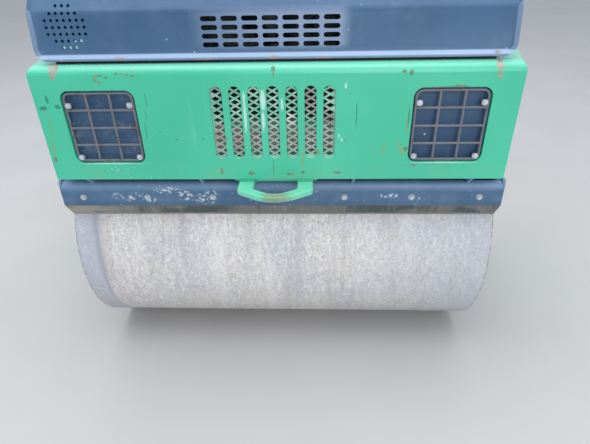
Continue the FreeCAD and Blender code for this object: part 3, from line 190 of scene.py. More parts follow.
class Finish:
    """A material on one shader: the object's own coordinates, patterns in them, and a base colour that
    coats are laid over."""

    def __init__(self, name, **fixed):
        self.material = bpy.data.materials.new(name)
        self.material.use_nodes = True
        tree = self.material.node_tree
        tree.nodes.clear()
        output = tree.nodes.new("ShaderNodeOutputMaterial")
        self.shader = tree.nodes.new("ShaderNodeBsdfPrincipled")
        tree.links.new(self.shader.outputs[0], output.inputs[0])
        for socket, value in fixed.items():
            self.shader.inputs[socket.replace("_", " ")].default_value = value
        self.place = Shade(tree, None).node("TexCoord", output=3)
        self.x, self.y, self.z = [self.place.node("SeparateXYZ", None, {0: self.place}, i) for i in range(3)]
        self.base = None

    def coat(self, mask, colour):
        """Lays a colour, a shade or screen values, over the base as far as the mask says."""
        self.base = mask.mix(self.base, colour if isinstance(colour, Shade) else linear(*colour))

    def done(self, rough, height=None, depth=0.0, **values):
        """The material, with its base, roughness, bumps and any other value linked."""
        values.update(Base_Color=self.base, Roughness=rough)
        if height is not None:
            values["Normal"] = self.place.node("Bump", None, {"Strength": 1.0, "Distance": depth, "Height": height})
        for socket, value in values.items():
            self.material.node_tree.links.new(value.socket, self.shader.inputs[socket.replace("_", " ")])
        return self.material

    def stretched(self, x, y, z):
        """The place with each axis scaled: patterns shrink along an axis as its number grows."""
        return self.place.node("Mapping", None, {0: self.place, 3: (x, y, z)})

    def noise(self, scale, detail=3.0, rough=0.55, place=None):
        return self.place.node("TexNoise", None, {"Vector": place or self.place, "Scale": scale,
                                                  "Detail": detail, "Roughness": rough})

    def cells(self, scale, feature="F1"):
        return self.place.node("TexVoronoi", {"feature": feature}, {"Vector": self.place, "Scale": scale})

    def marks(self, rows, ripple):
        """Mask of soft-edged marks on the front; each row is (x, z, half width, half height) in
        millimetres, ripple frays the edges, and the mask ends behind the face."""
        nearest = None
        for x, z, half_width, half_height in rows:
            apart = self.place.node("VectorMath", {"operation": "SUBTRACT"},
                                    {0: self.place, 1: (x / 1000, -FACE, z / 1000)})
            scaled = self.place.node("VectorMath", {"operation": "DIVIDE"},
                                     {0: apart, 1: (half_width / 1000, 0.05, half_height / 1000)})
            reach = self.place.node("VectorMath", {"operation": "LENGTH"}, {0: scaled}, 1)
            nearest = reach if nearest is None else nearest.least(reach)
        return (nearest + ripple).step(1.25, 0.7)


# Marks on the front, (x, z, half width, half height) in millimetres
PANEL_RUST = (
    (-403, 921, 9, 2.5), (-411, 914, 3, 6), (-403, 906, 5, 3), (-384, 917, 4, 2.5), (-358, 925, 5, 2.5),
    (-346, 924, 4, 2), (-334, 922, 5, 2.5), (-320, 920, 4, 3.5), (4, 931, 5, 5), (4.5, 920, 1.5, 7),
    (300, 923, 4.5, 3), (316, 920, 4, 6.5), (-137, 680, 3.5, 8), (-61, 674, 9, 5), (36, 672, 9, 3.5),
    (156, 675, 11, 3), (69, 676, 5, 3.5), (107, 730, 4, 6), (343, 695, 10, 2), (430, 890, 15, 2),
    (320, 738, 5, 6), (174, 760, 3, 2.5), (-560, 713, 4, 8), (-114, 765, 3, 4), (408, 888, 60, 1.2))
PANEL_SCRATCHES = (
    (-553, 845, 11, 6), (-538, 866, 4, 10), (-517, 849, 8, 5), (-300, 862, 1.2, 20), (-306, 828, 1.0, 12),
    (-313, 788, 1.2, 18), (197, 822, 1.6, 34), (320, 817, 1.6, 29), (-5, 690, 1.0, 24), (-279, 784, 3, 3),
    (-241, 765, 3, 3.5), (-175, 766, 2.5, 2.5))
PANEL_STAINS = (
    (267, 738, 2.5, 19), (303, 745, 2.5, 13), (312, 732, 3.5, 15), (69, 712, 3, 22), (-557, 744, 3, 20),
    (-548, 800, 2, 30), (318, 800, 2, 26))
# Pale marks on the paint, among them tall streaks between the slots
PANEL_PALE_MARKS = (
    (-23, 860, 6, 24), (-67, 866, 3, 14), (22, 849, 3, 14), (170, 892, 2.5, 7), (157, 771, 2, 6),
    (164, 762, 2, 5), (-24, 812, 4, 24), (-67, 820, 3, 40), (-417, 701.5, 76, 1.4), (417, 701.5, 76, 1.4))
PANEL_BARE = ((-507, 936, 12, 12), (-511, 920, 7, 8), (511, 934, 8, 12), (513, 912, 5, 9))
BRIM_CHIPS = ((-352, 954, 16, 2.5), (4, 953, 9, 3.5), (505, 957, 8, 4), (120, 951, 22, 1.2), (-150, 951, 26, 1.2))
BEAM_SPLASHES = (
    (-352, 583, 24, 13), (-250, 590, 28, 24), (-200, 582, 30, 20), (-280, 606, 60, 14), (-415, 590, 44, 14),
    (-178, 600, 26, 10), (300, 590, 36, 8))


# Finishes; every colour is in screen values

def green_paint(name, front=False):
    """Worn green gloss: grime towards the lower edges, few rust specks and a painted highlight along the top
    bend and the shelf; the front has its own marks.
    """
    finish = Finish(name, Metallic=0.0, Coat_Roughness=0.2)
    cloud, grain = finish.noise(3.0, 2.0), finish.noise(90.0, 2.0)
    streaks = finish.noise(20.0, 4.0, 0.6, finish.stretched(3.0, 3.0, 0.22))
    specks = finish.cells(31.0).step(0.10, 0.05) * finish.noise(6.0, 2.0).step(0.56, 0.64)
    grime = (finish.z - 0.03 * cloud).step(0.70, 0.64) * finish.noise(14.0).step(0.45, 0.65) * 0.22
    rust, pale = specks * 0.7, streaks.step(0.78, 0.9) * 0.2
    finish.base = mixed(cloud.step(0.3, 0.7), (56, 180, 143), (66, 189, 153))
    # Painted highlight: the top bend and the shelf above it are painted lighter, as the light from above falls on
    # them.
    finish.coat(finish.z.step(SHELF - 0.018, SHELF - 0.004) * 0.42, (150, 226, 204))
    finish.coat(streaks.step(0.6, 0.8) * 0.16, (150, 214, 188))
    finish.coat(grime, (130, 160, 110))
    if front:
        fray = finish.noise(240.0, 3.0, 0.6) * 1.3 - 0.65
        splashes = (finish.cells(120.0).step(0.24, 0.12) * finish.z.step(0.70, 0.685)
                    * (finish.x + 0.38).size().step(0.12, 0.08) * finish.noise(30.0, 2.0).step(0.45, 0.6))
        scraped = finish.marks(PANEL_SCRATCHES, finish.noise(110.0, 4.0, 0.7) * 2.4 - 1.15)
        bare = mixed(finish.noise(60.0).step(0.4, 0.6), (156, 102, 94), (182, 154, 150))
        loop = finish.y.step(-FACE - 0.004, -FACE - 0.012)
        nose = finish.y.step(-FACE - 0.050, -FACE - 0.075) * (finish.x - 0.004).size().step(0.10, 0.0)
        rust = finish.marks(PANEL_RUST, fray).most((nose + 0.5 * fray).step(0.55, 0.95) * 0.8)
        pale = (finish.marks(PANEL_PALE_MARKS, fray) * 0.6).most(splashes * 0.6)
        finish.coat(finish.marks(PANEL_STAINS, fray) * 0.55, (140, 138, 62))
        finish.coat(scraped * 0.65, (34, 82, 70))
        finish.coat(finish.marks(PANEL_BARE, fray * 1.2) * 0.75, bare)
        finish.coat(loop * 0.35, (150, 228, 200))
    finish.coat(pale, (214, 232, 226))
    finish.coat(rust * 0.72, mixed(grain.step(0.35, 0.65), (96, 82, 60), (148, 112, 84)))
    return finish.done(0.36 + 0.4 * rust.most(grime) + 0.1 * cloud, grain * 0.3 + rust, 0.0005,
                       Coat_Weight=0.3 - 0.3 * rust.most(pale))


def blue_paint(name, dark, light, haze=0.2, splashed=None, chipped=None, dusty=False):
    """Faded dark blue with haze and fine pale specks; a splashed one has a painted highlight along its top bend,
    a darker lower edge and lime spatters where rows say, a chipped one is the hood's, with a painted highlight on
    its brim, painted shade along the brim's lower edge and a pale wash round its vents, and a dusty one is filmed on
    its left."""
    finish = Finish(name, Metallic=0.0)
    cloud, grain = finish.noise(4.0), finish.noise(120.0, 2.0)
    lines = finish.noise(60.0, 3.0, 0.6, finish.stretched(1.0, 1.0, 0.1)).step(0.55, 0.8)
    veil = finish.noise(11.0, 5.0, 0.7).step(0.45, 0.75).most(lines * 0.7) * haze
    specks = finish.cells(26.0).step(0.07, 0.045) * finish.noise(5.0).step(0.48, 0.56) * 0.8
    finish.base = mixed(cloud.step(0.3, 0.7), dark, light)
    finish.coat(veil, (128, 144, 164))
    if dusty:
        film = finish.noise(28.0, 4.0, 0.7).step(0.5, 0.8)
        spots = finish.cells(170.0).step(0.24, 0.12) * finish.noise(30.0, 3.0).step(0.5, 0.62)
        specks = specks.most((film * 0.22).most(spots * 0.75) * finish.x.step(0.0, -0.1))
    if splashed:
        near = finish.marks(splashed, finish.noise(30.0, 3.0) * 1.6 - 0.8)
        spots = finish.cells(120.0).step(0.62, 0.34) * finish.noise(80.0, 3.0).step(0.38, 0.52)
        drops = finish.cells(75.0).step(0.4, 0.24) * finish.noise(40.0, 2.0).step(0.42, 0.55)
        sparse = finish.cells(64.0).step(0.14, 0.08) * finish.noise(8.0).step(0.45, 0.6)
        specks = specks.most((near * spots.most(drops)).most(sparse * 0.6))
        # Painted highlight: the beam's top bend and flange are painted lighter, as light falls on them from above.
        finish.coat(finish.z.step(0.600, 0.618) * 0.5 + finish.noise(9.0).step(0.45, 0.7) * 0.1, (132, 158, 192))
        # Darker along the beam's lower edge.
        finish.coat(finish.z.step(0.580, 0.568) * 0.35, (58, 76, 88))
    finish.coat(specks, (206, 212, 218))
    if chipped:
        chips = finish.marks(chipped, finish.noise(160.0, 3.0) * 1.2 - 0.6)
        flare = finish.y.step(-HOOD_FACE - 0.0005, -HOOD_FACE - 0.0025) * 0.3
        hem = (finish.z.step(HOOD_FOOT + 0.0160, HOOD_FOOT + 0.0115)
               * finish.z.step(HOOD_FOOT + 0.003, HOOD_FOOT + 0.006) * finish.y.step(0.001 - HOOD_FACE, -HOOD_FACE))
        wash = (finish.x.size().step(0.185, 0.150) * finish.z.step(0.966, 0.982) * finish.z.step(1.062, 1.044)
                * (finish.x + 0.1 * cloud).step(-0.25, 0.10) * finish.y.step(0.02 - HOOD_FACE, 0.01 - HOOD_FACE))
        finish.coat(wash * 0.55, (154, 170, 196))
        # Painted highlight on the brim: the flare and the hem are painted lighter where the brim catches the light.
        finish.coat(flare.most(hem) * (0.7 + 0.25 * cloud), (168, 192, 220))
        # Painted shade along the brim's lower edge.
        finish.coat(finish.z.step(HOOD_FOOT + 0.004, HOOD_FOOT + 0.001) * 0.4, (74, 98, 104))
        finish.coat(chips * 0.75, (164, 122, 104))
    return finish.done(0.5 + 0.25 * veil.most(specks), grain * 0.25 + specks, 0.0004)


def drum_steel():
    """Rolled steel dulled by pale dust: specks, pits, short streaks and broad faint bands round the drum,
    a bluish band behind a soft seam at its left end, a cooler right end, brown dirt under the scraper."""
    finish = Finish("drum_steel", Metallic=0.0)
    streaks = finish.noise(1.0, 4.0, 0.7, finish.stretched(130.0, 44.0, 44.0))
    lines = finish.noise(1.0, 5.0, 0.65, finish.stretched(80.0, 4.0, 4.0))
    rounds = finish.noise(1.0, 4.0, 0.65, finish.stretched(16.0, 1.6, 1.6))
    patches, fine = finish.noise(6.0, 4.0, 0.6), finish.noise(150.0, 4.0, 0.75)
    blots = finish.noise(26.0, 5.0, 0.75)
    band = finish.x.step(-0.528, -0.540)
    seam = (finish.x + 0.534).size().step(0.016, 0.003) * lines.step(0.3, 0.6)
    right = finish.x.step(0.10, 0.60) * (0.45 + 0.3 * lines)
    dirt = (finish.z + 0.05 * (lines - 0.5)).step(0.505, 0.545) * (0.35 + 0.65 * lines.step(0.42, 0.62))
    finish.base = mixed(patches.step(0.36, 0.64), (194, 194, 197), (206, 202, 197))
    for mask, colour in (
            (blots.step(0.54, 0.72) * 0.5, (156, 158, 166)),
            (streaks.step(0.52, 0.68) * 0.45, (160, 160, 166)),
            (streaks.step(0.48, 0.34) * 0.5, (238, 236, 234)),
            (fine.step(0.53, 0.64) * 0.7, (152, 147, 143)),
            (fine.step(0.45, 0.35) * 0.55, (238, 236, 238)),
            (rounds.step(0.50, 0.66) * 0.4, (166, 160, 160)),
            (rounds.step(0.46, 0.34) * 0.3, (226, 224, 224)),
            (finish.cells(62.0).step(0.16, 0.06) * blots.step(0.44, 0.56) * 0.55, (120, 116, 120)),
            (finish.z.step(0.30, 0.06) * 0.35, (180, 170, 160)),
            ((band * 0.6).most(right * 0.75), (158, 167, 180)),
            (seam * 0.55, (132, 141, 154)),
            (dirt * 0.5, (150, 132, 116)),
            (finish.x.size().step(0.594, 0.599) * finish.noise(60.0).step(0.4, 0.55) * 0.6, (120, 104, 92))):
        finish.coat(mask, colour)
    return finish.done(0.6 + 0.2 * patches, fine + streaks * 0.6, 0.0006)


def blade_steel():
    """Scraper blade: grey-green steel above, caked pale dirt towards its edge."""
    finish = Finish("blade_steel", Metallic=0.0)
    streaks = finish.noise(1.0, 4.0, 0.6, finish.stretched(40.0, 8.0, 3.0))
    grain, cloud = finish.noise(170.0, 3.0, 0.7), finish.noise(6.0, 4.0, 0.6)
    caked = (finish.z + 0.016 * (streaks - 0.5)).step(BLADE_FOOT + 0.012, BLADE_FOOT + 0.001)
    finish.base = mixed(cloud.step(0.42, 0.58), (72, 84, 86), (112, 114, 110))
    finish.coat(streaks.step(0.52, 0.7) * 0.5, (148, 146, 138))
    finish.coat(streaks.step(0.46, 0.3) * 0.7, (66, 66, 62))
    finish.coat((finish.x + 0.1 * cloud).step(-0.30, -0.52) * cloud.step(0.4, 0.55) * 0.6, (176, 172, 162))
    finish.coat(caked * (0.4 + 0.6 * grain), mixed(cloud.step(0.4, 0.6), (172, 164, 152), (142, 134, 122)))
    return finish.done(0.75 + 0.2 * grain, grain + streaks, 0.0012)


def radiator_core():
    """Fine upright fins; towards the bottom pale dust, painted lighter still as painted light on the core, which lies
    in shade behind the screen.
    """
    finish = Finish("radiator_core", Metallic=0.1)
    fins = finish.x.maths("SINE", finish.x * 1400.0) * 0.5 + 0.5
    cloud = finish.noise(18.0, 4.0)
    dust = (finish.z + 0.02 * cloud).step(0.825, 0.798) * (0.75 + 0.25 * cloud)
    finish.base = mixed(fins, (20, 20, 20), (50, 48, 48))
    # Dust and painted light: the lower core is painted pale, much lighter than its shaded place behind the screen
    # would show.
    finish.coat(dust * 0.95, (216, 192, 190))
    return finish.done(0.8 + 0.1 * dust, fins, 0.0012)


def screen_coat():
    """Galvanised screen with green overspray, bare and white with scale in places, dusty low down."""
    finish = Finish("screen_coat", Metallic=0.1)
    cloud, grain = finish.noise(22.0, 4.0, 0.65), finish.noise(180.0, 3.0)
    finish.base = mixed(cloud.step(0.42, 0.58), (108, 172, 148), (150, 192, 176))
    finish.coat(finish.noise(40.0).step(0.58, 0.68) * 0.8, (206, 202, 198))
    finish.coat(finish.noise(14.0, 4.0).step(0.52, 0.62) * 0.7, (132, 116, 112))
    finish.coat(finish.z.step(0.80, 0.78) * (0.45 + 0.2 * cloud), (150, 150, 142))
    return finish.done(0.5 + 0.2 * cloud, grain, 0.0004)


def seat_vinyl(name, dark, light):
    """Vinyl with a leather grain, greyed by dust where it is sat on."""
    finish = Finish(name, Metallic=0.0, Sheen_Weight=0.15)
    cloud = finish.noise(7.0, 4.0)
    finish.base = mixed(cloud.step(0.4, 0.7), dark, light)
    return finish.done(0.48 + 0.25 * cloud, finish.cells(420.0, "DISTANCE_TO_EDGE").step(0.0, 0.25), 0.0004)


def worn_coat(name, paint, under, amount, rough=0.5, metal=0.0):
    """Plain paint over steel: patches of the colour beneath, grime and a fine grain."""
    paint, under = linear(*paint), linear(*under)
    finish = Finish(name, Metallic=metal)
    cloud, grain = finish.noise(9.0, 4.0), finish.noise(150.0, 3.0)
    worn = (finish.noise(34.0, 5.0, 0.7) + cloud * 0.3).step(0.78 - amount, 0.9 - amount)
    finish.base = cloud.step(0.3, 0.7).mix(darker(paint, 0.82), paint)
    finish.coat(worn, grain.step(0.3, 0.7).mix(under, darker(under, 0.7)))
    return finish.done(rough + 0.25 * worn, grain * 0.4 + worn, 0.0005)


def plain_finish(name, colour, rough, metal, grain_scale, grain_depth, spread=0.12):
    """One colour that varies a little, with a fine grain."""
    colour = linear(*colour)
    finish = Finish(name, Metallic=metal)
    cloud = finish.noise(12.0, 4.0)
    finish.base = cloud.step(0.3, 0.7).mix(darker(colour, 1 - 2 * spread), colour)
    return finish.done(rough + 0.2 * (cloud - 0.5), finish.noise(grain_scale, 3.0), grain_depth)


# Paint, colour beneath, share worn, roughness, metal
WORN = {
    "guard_steel": ((106, 110, 118), (106, 90, 82), 0.1, 0.6),
    "dark_steel": ((56, 58, 60), (86, 76, 68), 0.08, 0.6),
    "galvanised_steel": ((190, 206, 198), (160, 146, 140), 0.16, 0.45, 0.2),
    "engine_iron": ((84, 88, 92), (62, 54, 46), 0.08, 0.55, 0.2),
    "cylinder_paint": ((40, 42, 44), (96, 84, 70), 0.12, 0.4),
    "rail_paint": ((52, 84, 116), (122, 96, 74), 0.06, 0.4),
    "dull_bolt": ((92, 116, 140), (190, 196, 202), 0.32, 0.5),
    "tread_steel": ((92, 94, 96), (124, 116, 106), 0.1, 0.45, 0.4),
    "weld_green": ((52, 168, 134), (120, 92, 70), 0.05, 0.5),
    "filter_orange": ((176, 92, 40), (70, 60, 52), 0.1, 0.45),
    "silencer_rust": ((112, 78, 60), (80, 66, 58), 0.16, 0.75, 0.2),
}
# Colour, roughness, metal, grain's scale and depth, spread
PLAIN = {
    "slot_pale_heaps": ((124, 186, 164), 0.9, 0.0, 160.0, 0.0006, 0.2),
    "buffer_rubber": ((30, 30, 30), 0.75, 0.0, 300.0, 0.0003),
    "rod_chrome": ((225, 225, 228), 0.12, 1.0, 60.0, 0.0001, 0.03),
    "black_plastic": ((32, 32, 33), 0.5, 0.0, 700.0, 0.0002),
    "bolt_steel": ((196, 201, 208), 0.45, 0.3, 200.0, 0.0002),
    "dial_face": ((20, 20, 22), 0.35, 0.0, 500.0, 0.0001, 0.05),
    "dial_white": ((226, 226, 220), 0.5, 0.0, 500.0, 0.0001, 0.05),
    "dial_red": ((190, 36, 26), 0.45, 0.0, 500.0, 0.0001, 0.08),
}
BLUE = ((52, 86, 119), (59, 95, 128))
FINISHES = {
    "green_paint": green_paint("green_paint"),
    "front_panel_paint": green_paint("front_panel_paint", True),
    "blue_paint": blue_paint("blue_paint", *BLUE),
    "hood_paint": blue_paint("hood_paint", *BLUE, 0.15, chipped=BRIM_CHIPS),
    "beam_paint": blue_paint("beam_paint", (58, 94, 126), (70, 106, 138), 0.3, splashed=BEAM_SPLASHES),
    # Painted shade: the lamp plates sit in recesses and get a darker copy of the blue paint.
    "shaded_plate_paint": blue_paint("shaded_plate_paint", (40, 70, 102), (48, 81, 112), 0.12, dusty=True),
    "screen_coat": screen_coat(),
    "drum_steel": drum_steel(),
    "blade_steel": blade_steel(),
    "radiator_core": radiator_core(),
    "seat_vinyl": seat_vinyl("seat_vinyl", (30, 30, 32), (58, 57, 56)),
    "seat_piping": seat_vinyl("seat_piping", (52, 52, 54), (80, 79, 78)),
    **{name: worn_coat(name, *row) for name, row in WORN.items()},
    **{name: plain_finish(name, *row) for name, row in PLAIN.items()},
}


# Shapes worked out as arrays: a grid is (rows, columns, 3), a stack of equal grids (count, rows, columns, 3)

def frame_of(axis):
    """Two unit vectors square to the axis and to each other."""
    axis = np.asarray(axis, float) / np.linalg.norm(axis)
    first = np.cross(axis, (0.0, 0.0, 1.0) if abs(axis[2]) < 0.9 else (1.0, 0.0, 0.0))
    first /= np.linalg.norm(first)
    return axis, first, np.cross(axis, first)


def circle(count):
    """Angles at even steps round a full turn."""
    return np.linspace(0, 2 * np.pi, count, endpoint=False)


def turned(profile, start, axis, sides):
    """Turned shape: each (radius, height) of the profile carried round the axis through start, at
    start + height * axis + radius * (first * cos t + second * sin t)."""
    axis, first, second = frame_of(axis)
    turn = circle(sides)
    ring = np.cos(turn)[:, None] * first + np.sin(turn)[:, None] * second
    radius, height = np.asarray(profile, float).T
    return np.asarray(start) + height[:, None, None] * axis + radius[:, None, None] * ring


def knob(profile, start, axis, sides):
    """Turned shape whose two ends are flat and closed to the axis."""
    return turned([(0, profile[0][1]), *profile, (0, profile[-1][1])], start, axis, sides)


def hoop(profile, start, axis, sides):
    """Turned shape whose profile closes on itself."""
    return turned([*profile, profile[0]], start, axis, sides)


def tube(path, radius, sides=10, closed=False):
    """Tube: a ring of the radius, one number or one a point, round each point of the path, square to
    its tangent; an open one is drawn to a point at both ends."""
    path = np.asarray(path, float)
    radius = np.broadcast_to(np.asarray(radius, float), len(path))
    tangent = np.roll(path, -1, 0) - np.roll(path, 1, 0) if closed else np.gradient(path, axis=0)
    tangent /= np.linalg.norm(tangent, axis=1)[:, None]
    helper = np.eye(3)[np.argmin(np.abs(tangent).max(0))]
    first = np.cross(tangent, helper)
    first /= np.linalg.norm(first, axis=1)[:, None]
    second = np.cross(tangent, first)
    turn = circle(sides)
    ring = np.cos(turn)[None, :, None] * first[:, None] + np.sin(turn)[None, :, None] * second[:, None]
    rings = path[:, None] + radius[:, None, None] * ring
    if closed:
        return np.concatenate([rings, rings[:1]])
    return np.concatenate([path[:1, None].repeat(sides, 1), rings, path[-1:, None].repeat(sides, 1)])


def along(corners, spacing, closed=False):
    """Points at even spacing on the straight runs between the corners."""
    corners = np.asarray(corners, float)
    if closed:
        corners = np.concatenate([corners, corners[:1]])
    reach = np.concatenate([[0], np.cumsum(np.linalg.norm(np.diff(corners, axis=0), axis=1))])
    places = np.linspace(0, reach[-1], max(3, int(reach[-1] / spacing)), endpoint=not closed)
    return np.stack([np.interp(places, reach, corners[:, i]) for i in range(3)], 1)


def weld(corners, radius=0.004, closed=False):
    """Weld bead: a tube whose radius follows R (0.82 + 0.18 |sin s|) along the seam, one wave a ripple."""
    path = along(corners, radius * 0.7, closed)
    wave = 0.82 + 0.18 * np.abs(np.sin(np.arange(len(path)) * 0.9))
    return tube(path, radius * wave, 7, closed)


def rounded_ring(half_u, half_v, radius, steps=4):
    """Rounded rectangle (u, v): corner centres (+-(half_u - r), +-(half_v - r)) plus r (cos t, sin t)."""
    quarter = np.repeat(np.arange(4), steps + 1)
    turn = (quarter + np.tile(np.linspace(0, 1, steps + 1), 4)) * np.pi / 2
    across = np.array((1, -1, -1, 1))[quarter] * (half_u - radius) + radius * np.cos(turn)
    up = np.array((1, 1, -1, -1))[quarter] * (half_v - radius) + radius * np.sin(turn)
    return np.stack([across, up], 1)


def rounded_block(low_corner, high_corner, radius, edge=0.004, axis=2, steps=3):
    """Block whose section, a rounded rectangle, is carried along the axis and drawn in by
    e (1 - sin t) over the last e (1 - cos t) at both ends, then closed to the middle."""
    low_corner, high_corner = np.asarray(low_corner, float), np.asarray(high_corner, float)
    middle, half = (low_corner + high_corner) / 2, (high_corner - low_corner) / 2
    u, v = [i for i in range(3) if i != axis]
    turn = np.linspace(0, np.pi / 2, steps + 1)
    drawn, back = edge * (1 - np.sin(turn)), edge * (1 - np.cos(turn))
    inset = np.concatenate([drawn, drawn[::-1]])
    place = np.concatenate([-half[axis] + back, half[axis] - back[::-1]])
    grid = np.zeros((len(inset) + 2, 4 * (steps + 2), 3))
    for row, (draw, height) in enumerate(zip(inset, place), 1):
        grid[row][:, [u, v]] = rounded_ring(half[u] - draw, half[v] - draw, max(radius - draw, 1e-4), steps + 1)
        grid[row][:, axis] = height
    grid[0][:, axis], grid[-1][:, axis] = -half[axis], half[axis]
    return middle + grid


def block_at(middle, half, radius, edge=0.004, axis=2):
    """Rounded block by its middle and half sizes."""
    middle, half = np.asarray(middle, float), np.asarray(half, float)
    return rounded_block(middle - half, middle + half, radius, edge, axis)


def band(path, across, thick):
    """Flat band: at each point of the path the four corners of its section, +-across and +-thick/2 along
    the path's normal; both ends are closed to the middle."""
    path, across = np.asarray(path, float), np.asarray(across, float)
    tangent = np.gradient(path, axis=0)
    normal = np.cross(tangent, across)
    normal *= thick / 2 / np.linalg.norm(normal, axis=1)[:, None]
    grid = np.stack([path + across + normal, path - across + normal, path - across - normal,
                     path + across - normal], 1)
    return np.concatenate([path[:1, None].repeat(4, 1), grid, path[-1:, None].repeat(4, 1)])


def cells_of(rows, columns, wrap):
    """Corner numbers of every cell of a grid, its last column joined to the first where it wraps."""
    row, column = np.meshgrid(np.arange(rows - 1), np.arange(columns if wrap else columns - 1), indexing="ij")
    after = (column + 1) % columns
    return np.stack([row * columns + column, row * columns + after,
                     (row + 1) * columns + after, (row + 1) * columns + column], -1).reshape(-1, 4)


# Objects

def linked(name, data):
    """New object in the scene."""
    item = bpy.data.objects.new(name, data)
    bpy.context.scene.collection.objects.link(item)
    return item


def painted(mesh, finish):
    mesh.materials.clear()
    mesh.materials.append(FINISHES[finish])


def points_of(mesh):
    points = np.zeros(len(mesh.vertices) * 3)
    mesh.vertices.foreach_get("co", points)
    return points.reshape(-1, 3)


def merged(mesh, flat_deg=None):
    """Doubles merged and faces outwards; flats joined too where an angle is given."""
    work = bmesh.new()
    work.from_mesh(mesh)
    bmesh.ops.remove_doubles(work, verts=work.verts, dist=1e-6)
    if flat_deg is None:
        bmesh.ops.dissolve_degenerate(work, dist=1e-7, edges=work.edges)
        bmesh.ops.recalc_face_normals(work, faces=work.faces)
    else:
        bmesh.ops.dissolve_limit(work, angle_limit=math.radians(flat_deg), verts=work.verts, edges=work.edges)
    work.to_mesh(mesh)
    work.free()


def placed(name, mesh, finish, body, smooth_deg):
    """Object of the mesh, smooth up to an angle, riding on its body."""
    mesh.shade_smooth()
    mesh.set_sharp_from_angle(angle=math.radians(smooth_deg))
    painted(mesh, finish)
    item = linked(name, mesh)
    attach(item, body)
    return item


def piece(name, grids, finish, body, wrap=True, smooth_deg=35.0):
    """Object of one or more grids or stacks of grids."""
    points, faces, count = [], [], 0
    for grid in grids:
        stack = grid.reshape(-1, *grid.shape[-3:])
        number, rows, columns = stack.shape[:3]
        start = count + np.arange(number)[:, None, None] * rows * columns
        faces.append((start + cells_of(rows, columns, wrap)).reshape(-1, 4))
        points.append(stack.reshape(-1, 3))
        count += number * rows * columns
    mesh = bpy.data.meshes.new(name)
    mesh.from_pydata(np.concatenate(points), [], np.concatenate(faces))
    merged(mesh)
    return placed(name, mesh, finish, body, smooth_deg)


def softened(node, finish, width, wide=None):
    """Copy of a CAD node with its flats merged and its edges rounded; it stands for the node. wide
    (a factor and the edge middles' lowest X from the centre) rounds the outer upright edges more."""
    mesh = NODES[node].data.copy()
    merged(mesh, 0.3)
    item = placed(node + "_surface", mesh, finish, BODY_OF[node], 30.0)
    bevel = item.modifiers.new("rounded_edges", "BEVEL")
    bevel.width = width
    bevel.segments = 2
    bevel.limit_method = "ANGLE"
    bevel.angle_limit = math.radians(40)
    bevel.harden_normals = True
    if wide:
        factor, beyond = wide
        ends = np.zeros(len(mesh.edges) * 2, int)
        mesh.edges.foreach_get("vertices", ends)
        first, last = points_of(mesh)[ends].reshape(-1, 2, 3).transpose(1, 0, 2)
        upright = np.abs((last - first)[:, 2]) > 0.9 * np.linalg.norm(last - first, axis=1)
        outer = upright & (np.abs(first[:, 0]) > beyond)
        weights = mesh.attributes.new("bevel_weight_edge", "FLOAT", "EDGE")
        weights.data.foreach_set("value", np.where(outer, 1.0, 1.0 / factor))
        bevel.width = width * factor
        bevel.limit_method = "WEIGHT"
    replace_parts(item, node)


# CAD nodes: finishes by slot, and by node where the photograph shows a difference

FINISH_OF = dict(SLOT_OF, front_end_panel="front_panel_paint", front_scraper_beam="beam_paint",
                 rear_scraper_beam="beam_paint", hood="hood_paint", front_lamp_plates="shaded_plate_paint",
                 rear_lamp_plates="shaded_plate_paint", front_scraper_blade="blade_steel",
                 rear_scraper_blade="blade_steel", front_tow_loop="front_panel_paint", screen_mesh="screen_coat")
for node, item in NODES.items():
    painted(item.data, FINISH_OF[node])

EDGE_WIDTHS = (
    (0.0008, "hood"),
    (0.0010, "front_scraper_beam rear_scraper_beam hand_rails platform steer_barrel"),
    (0.0012, "rear_end_panel"),
    (0.0015, "front_tow_loop rear_tow_loop front_side_plates rear_side_plates front_hub_mounts rear_hub_mounts "
             "rear_top seat_frame front_cross_wall rear_cross_wall steer_knuckle"),
    (0.0020, "cowl water_tank console"),
    (0.0030, "front_drum rear_drum"))
for width, nodes in EDGE_WIDTHS:
    for node in nodes.split():
        softened(node, FINISH_OF[node], width)
softened("front_end_panel", "front_panel_paint", 0.001, (3.5, 0.55))


# Bolts, welds and what the two ends share

def bolt(place, axis, across, height):
    """Washer under a six-sided head with a chamfered top."""
    radius, washer = across / math.sqrt(3), across * 0.78
    plate = [(0, -0.001), (washer, -0.001), (washer, height * 0.22), (0, height * 0.25)]
    head = [(radius, height * 0.2), (radius, height * 0.85), (radius * 0.8, height)]
    return [turned(plate, place, axis, 20), knob(head, place, axis, 6)]


def bolts(name, rows, body, across, height, finish="dull_bolt"):
    """One piece of many bolts; rows are (place, axis)."""
    piece(name, [grid for row in rows for grid in bolt(*row, across, height)], finish, body, smooth_deg=25.0)


def nipple(place, axis, *heights):
    """Grease nipple whose base, waist, ball and tip end at these heights."""
    return knob(list(zip((0.006, 0.006, 0.0035, 0.0045, 0.003), (-0.002, *heights))), place, axis, 12)


def round_of(centre, axis, radius, count, phase=0.0):
    """Places of a ring of bolts, each with the ring's axis."""
    unit, first, second = frame_of(axis)
    turns = [2 * math.pi * i / count + phase for i in range(count)]
    return [(np.asarray(centre) + radius * (first * math.cos(t) + second * math.sin(t)), unit) for t in turns]


def axle_ends(out, reach):
    """The axle's two ends at this reach from the middle, each with its way out."""
    return [((side * reach, out * AXLE, AXLE_Z), (side, 0, 0)) for side in SIDES]


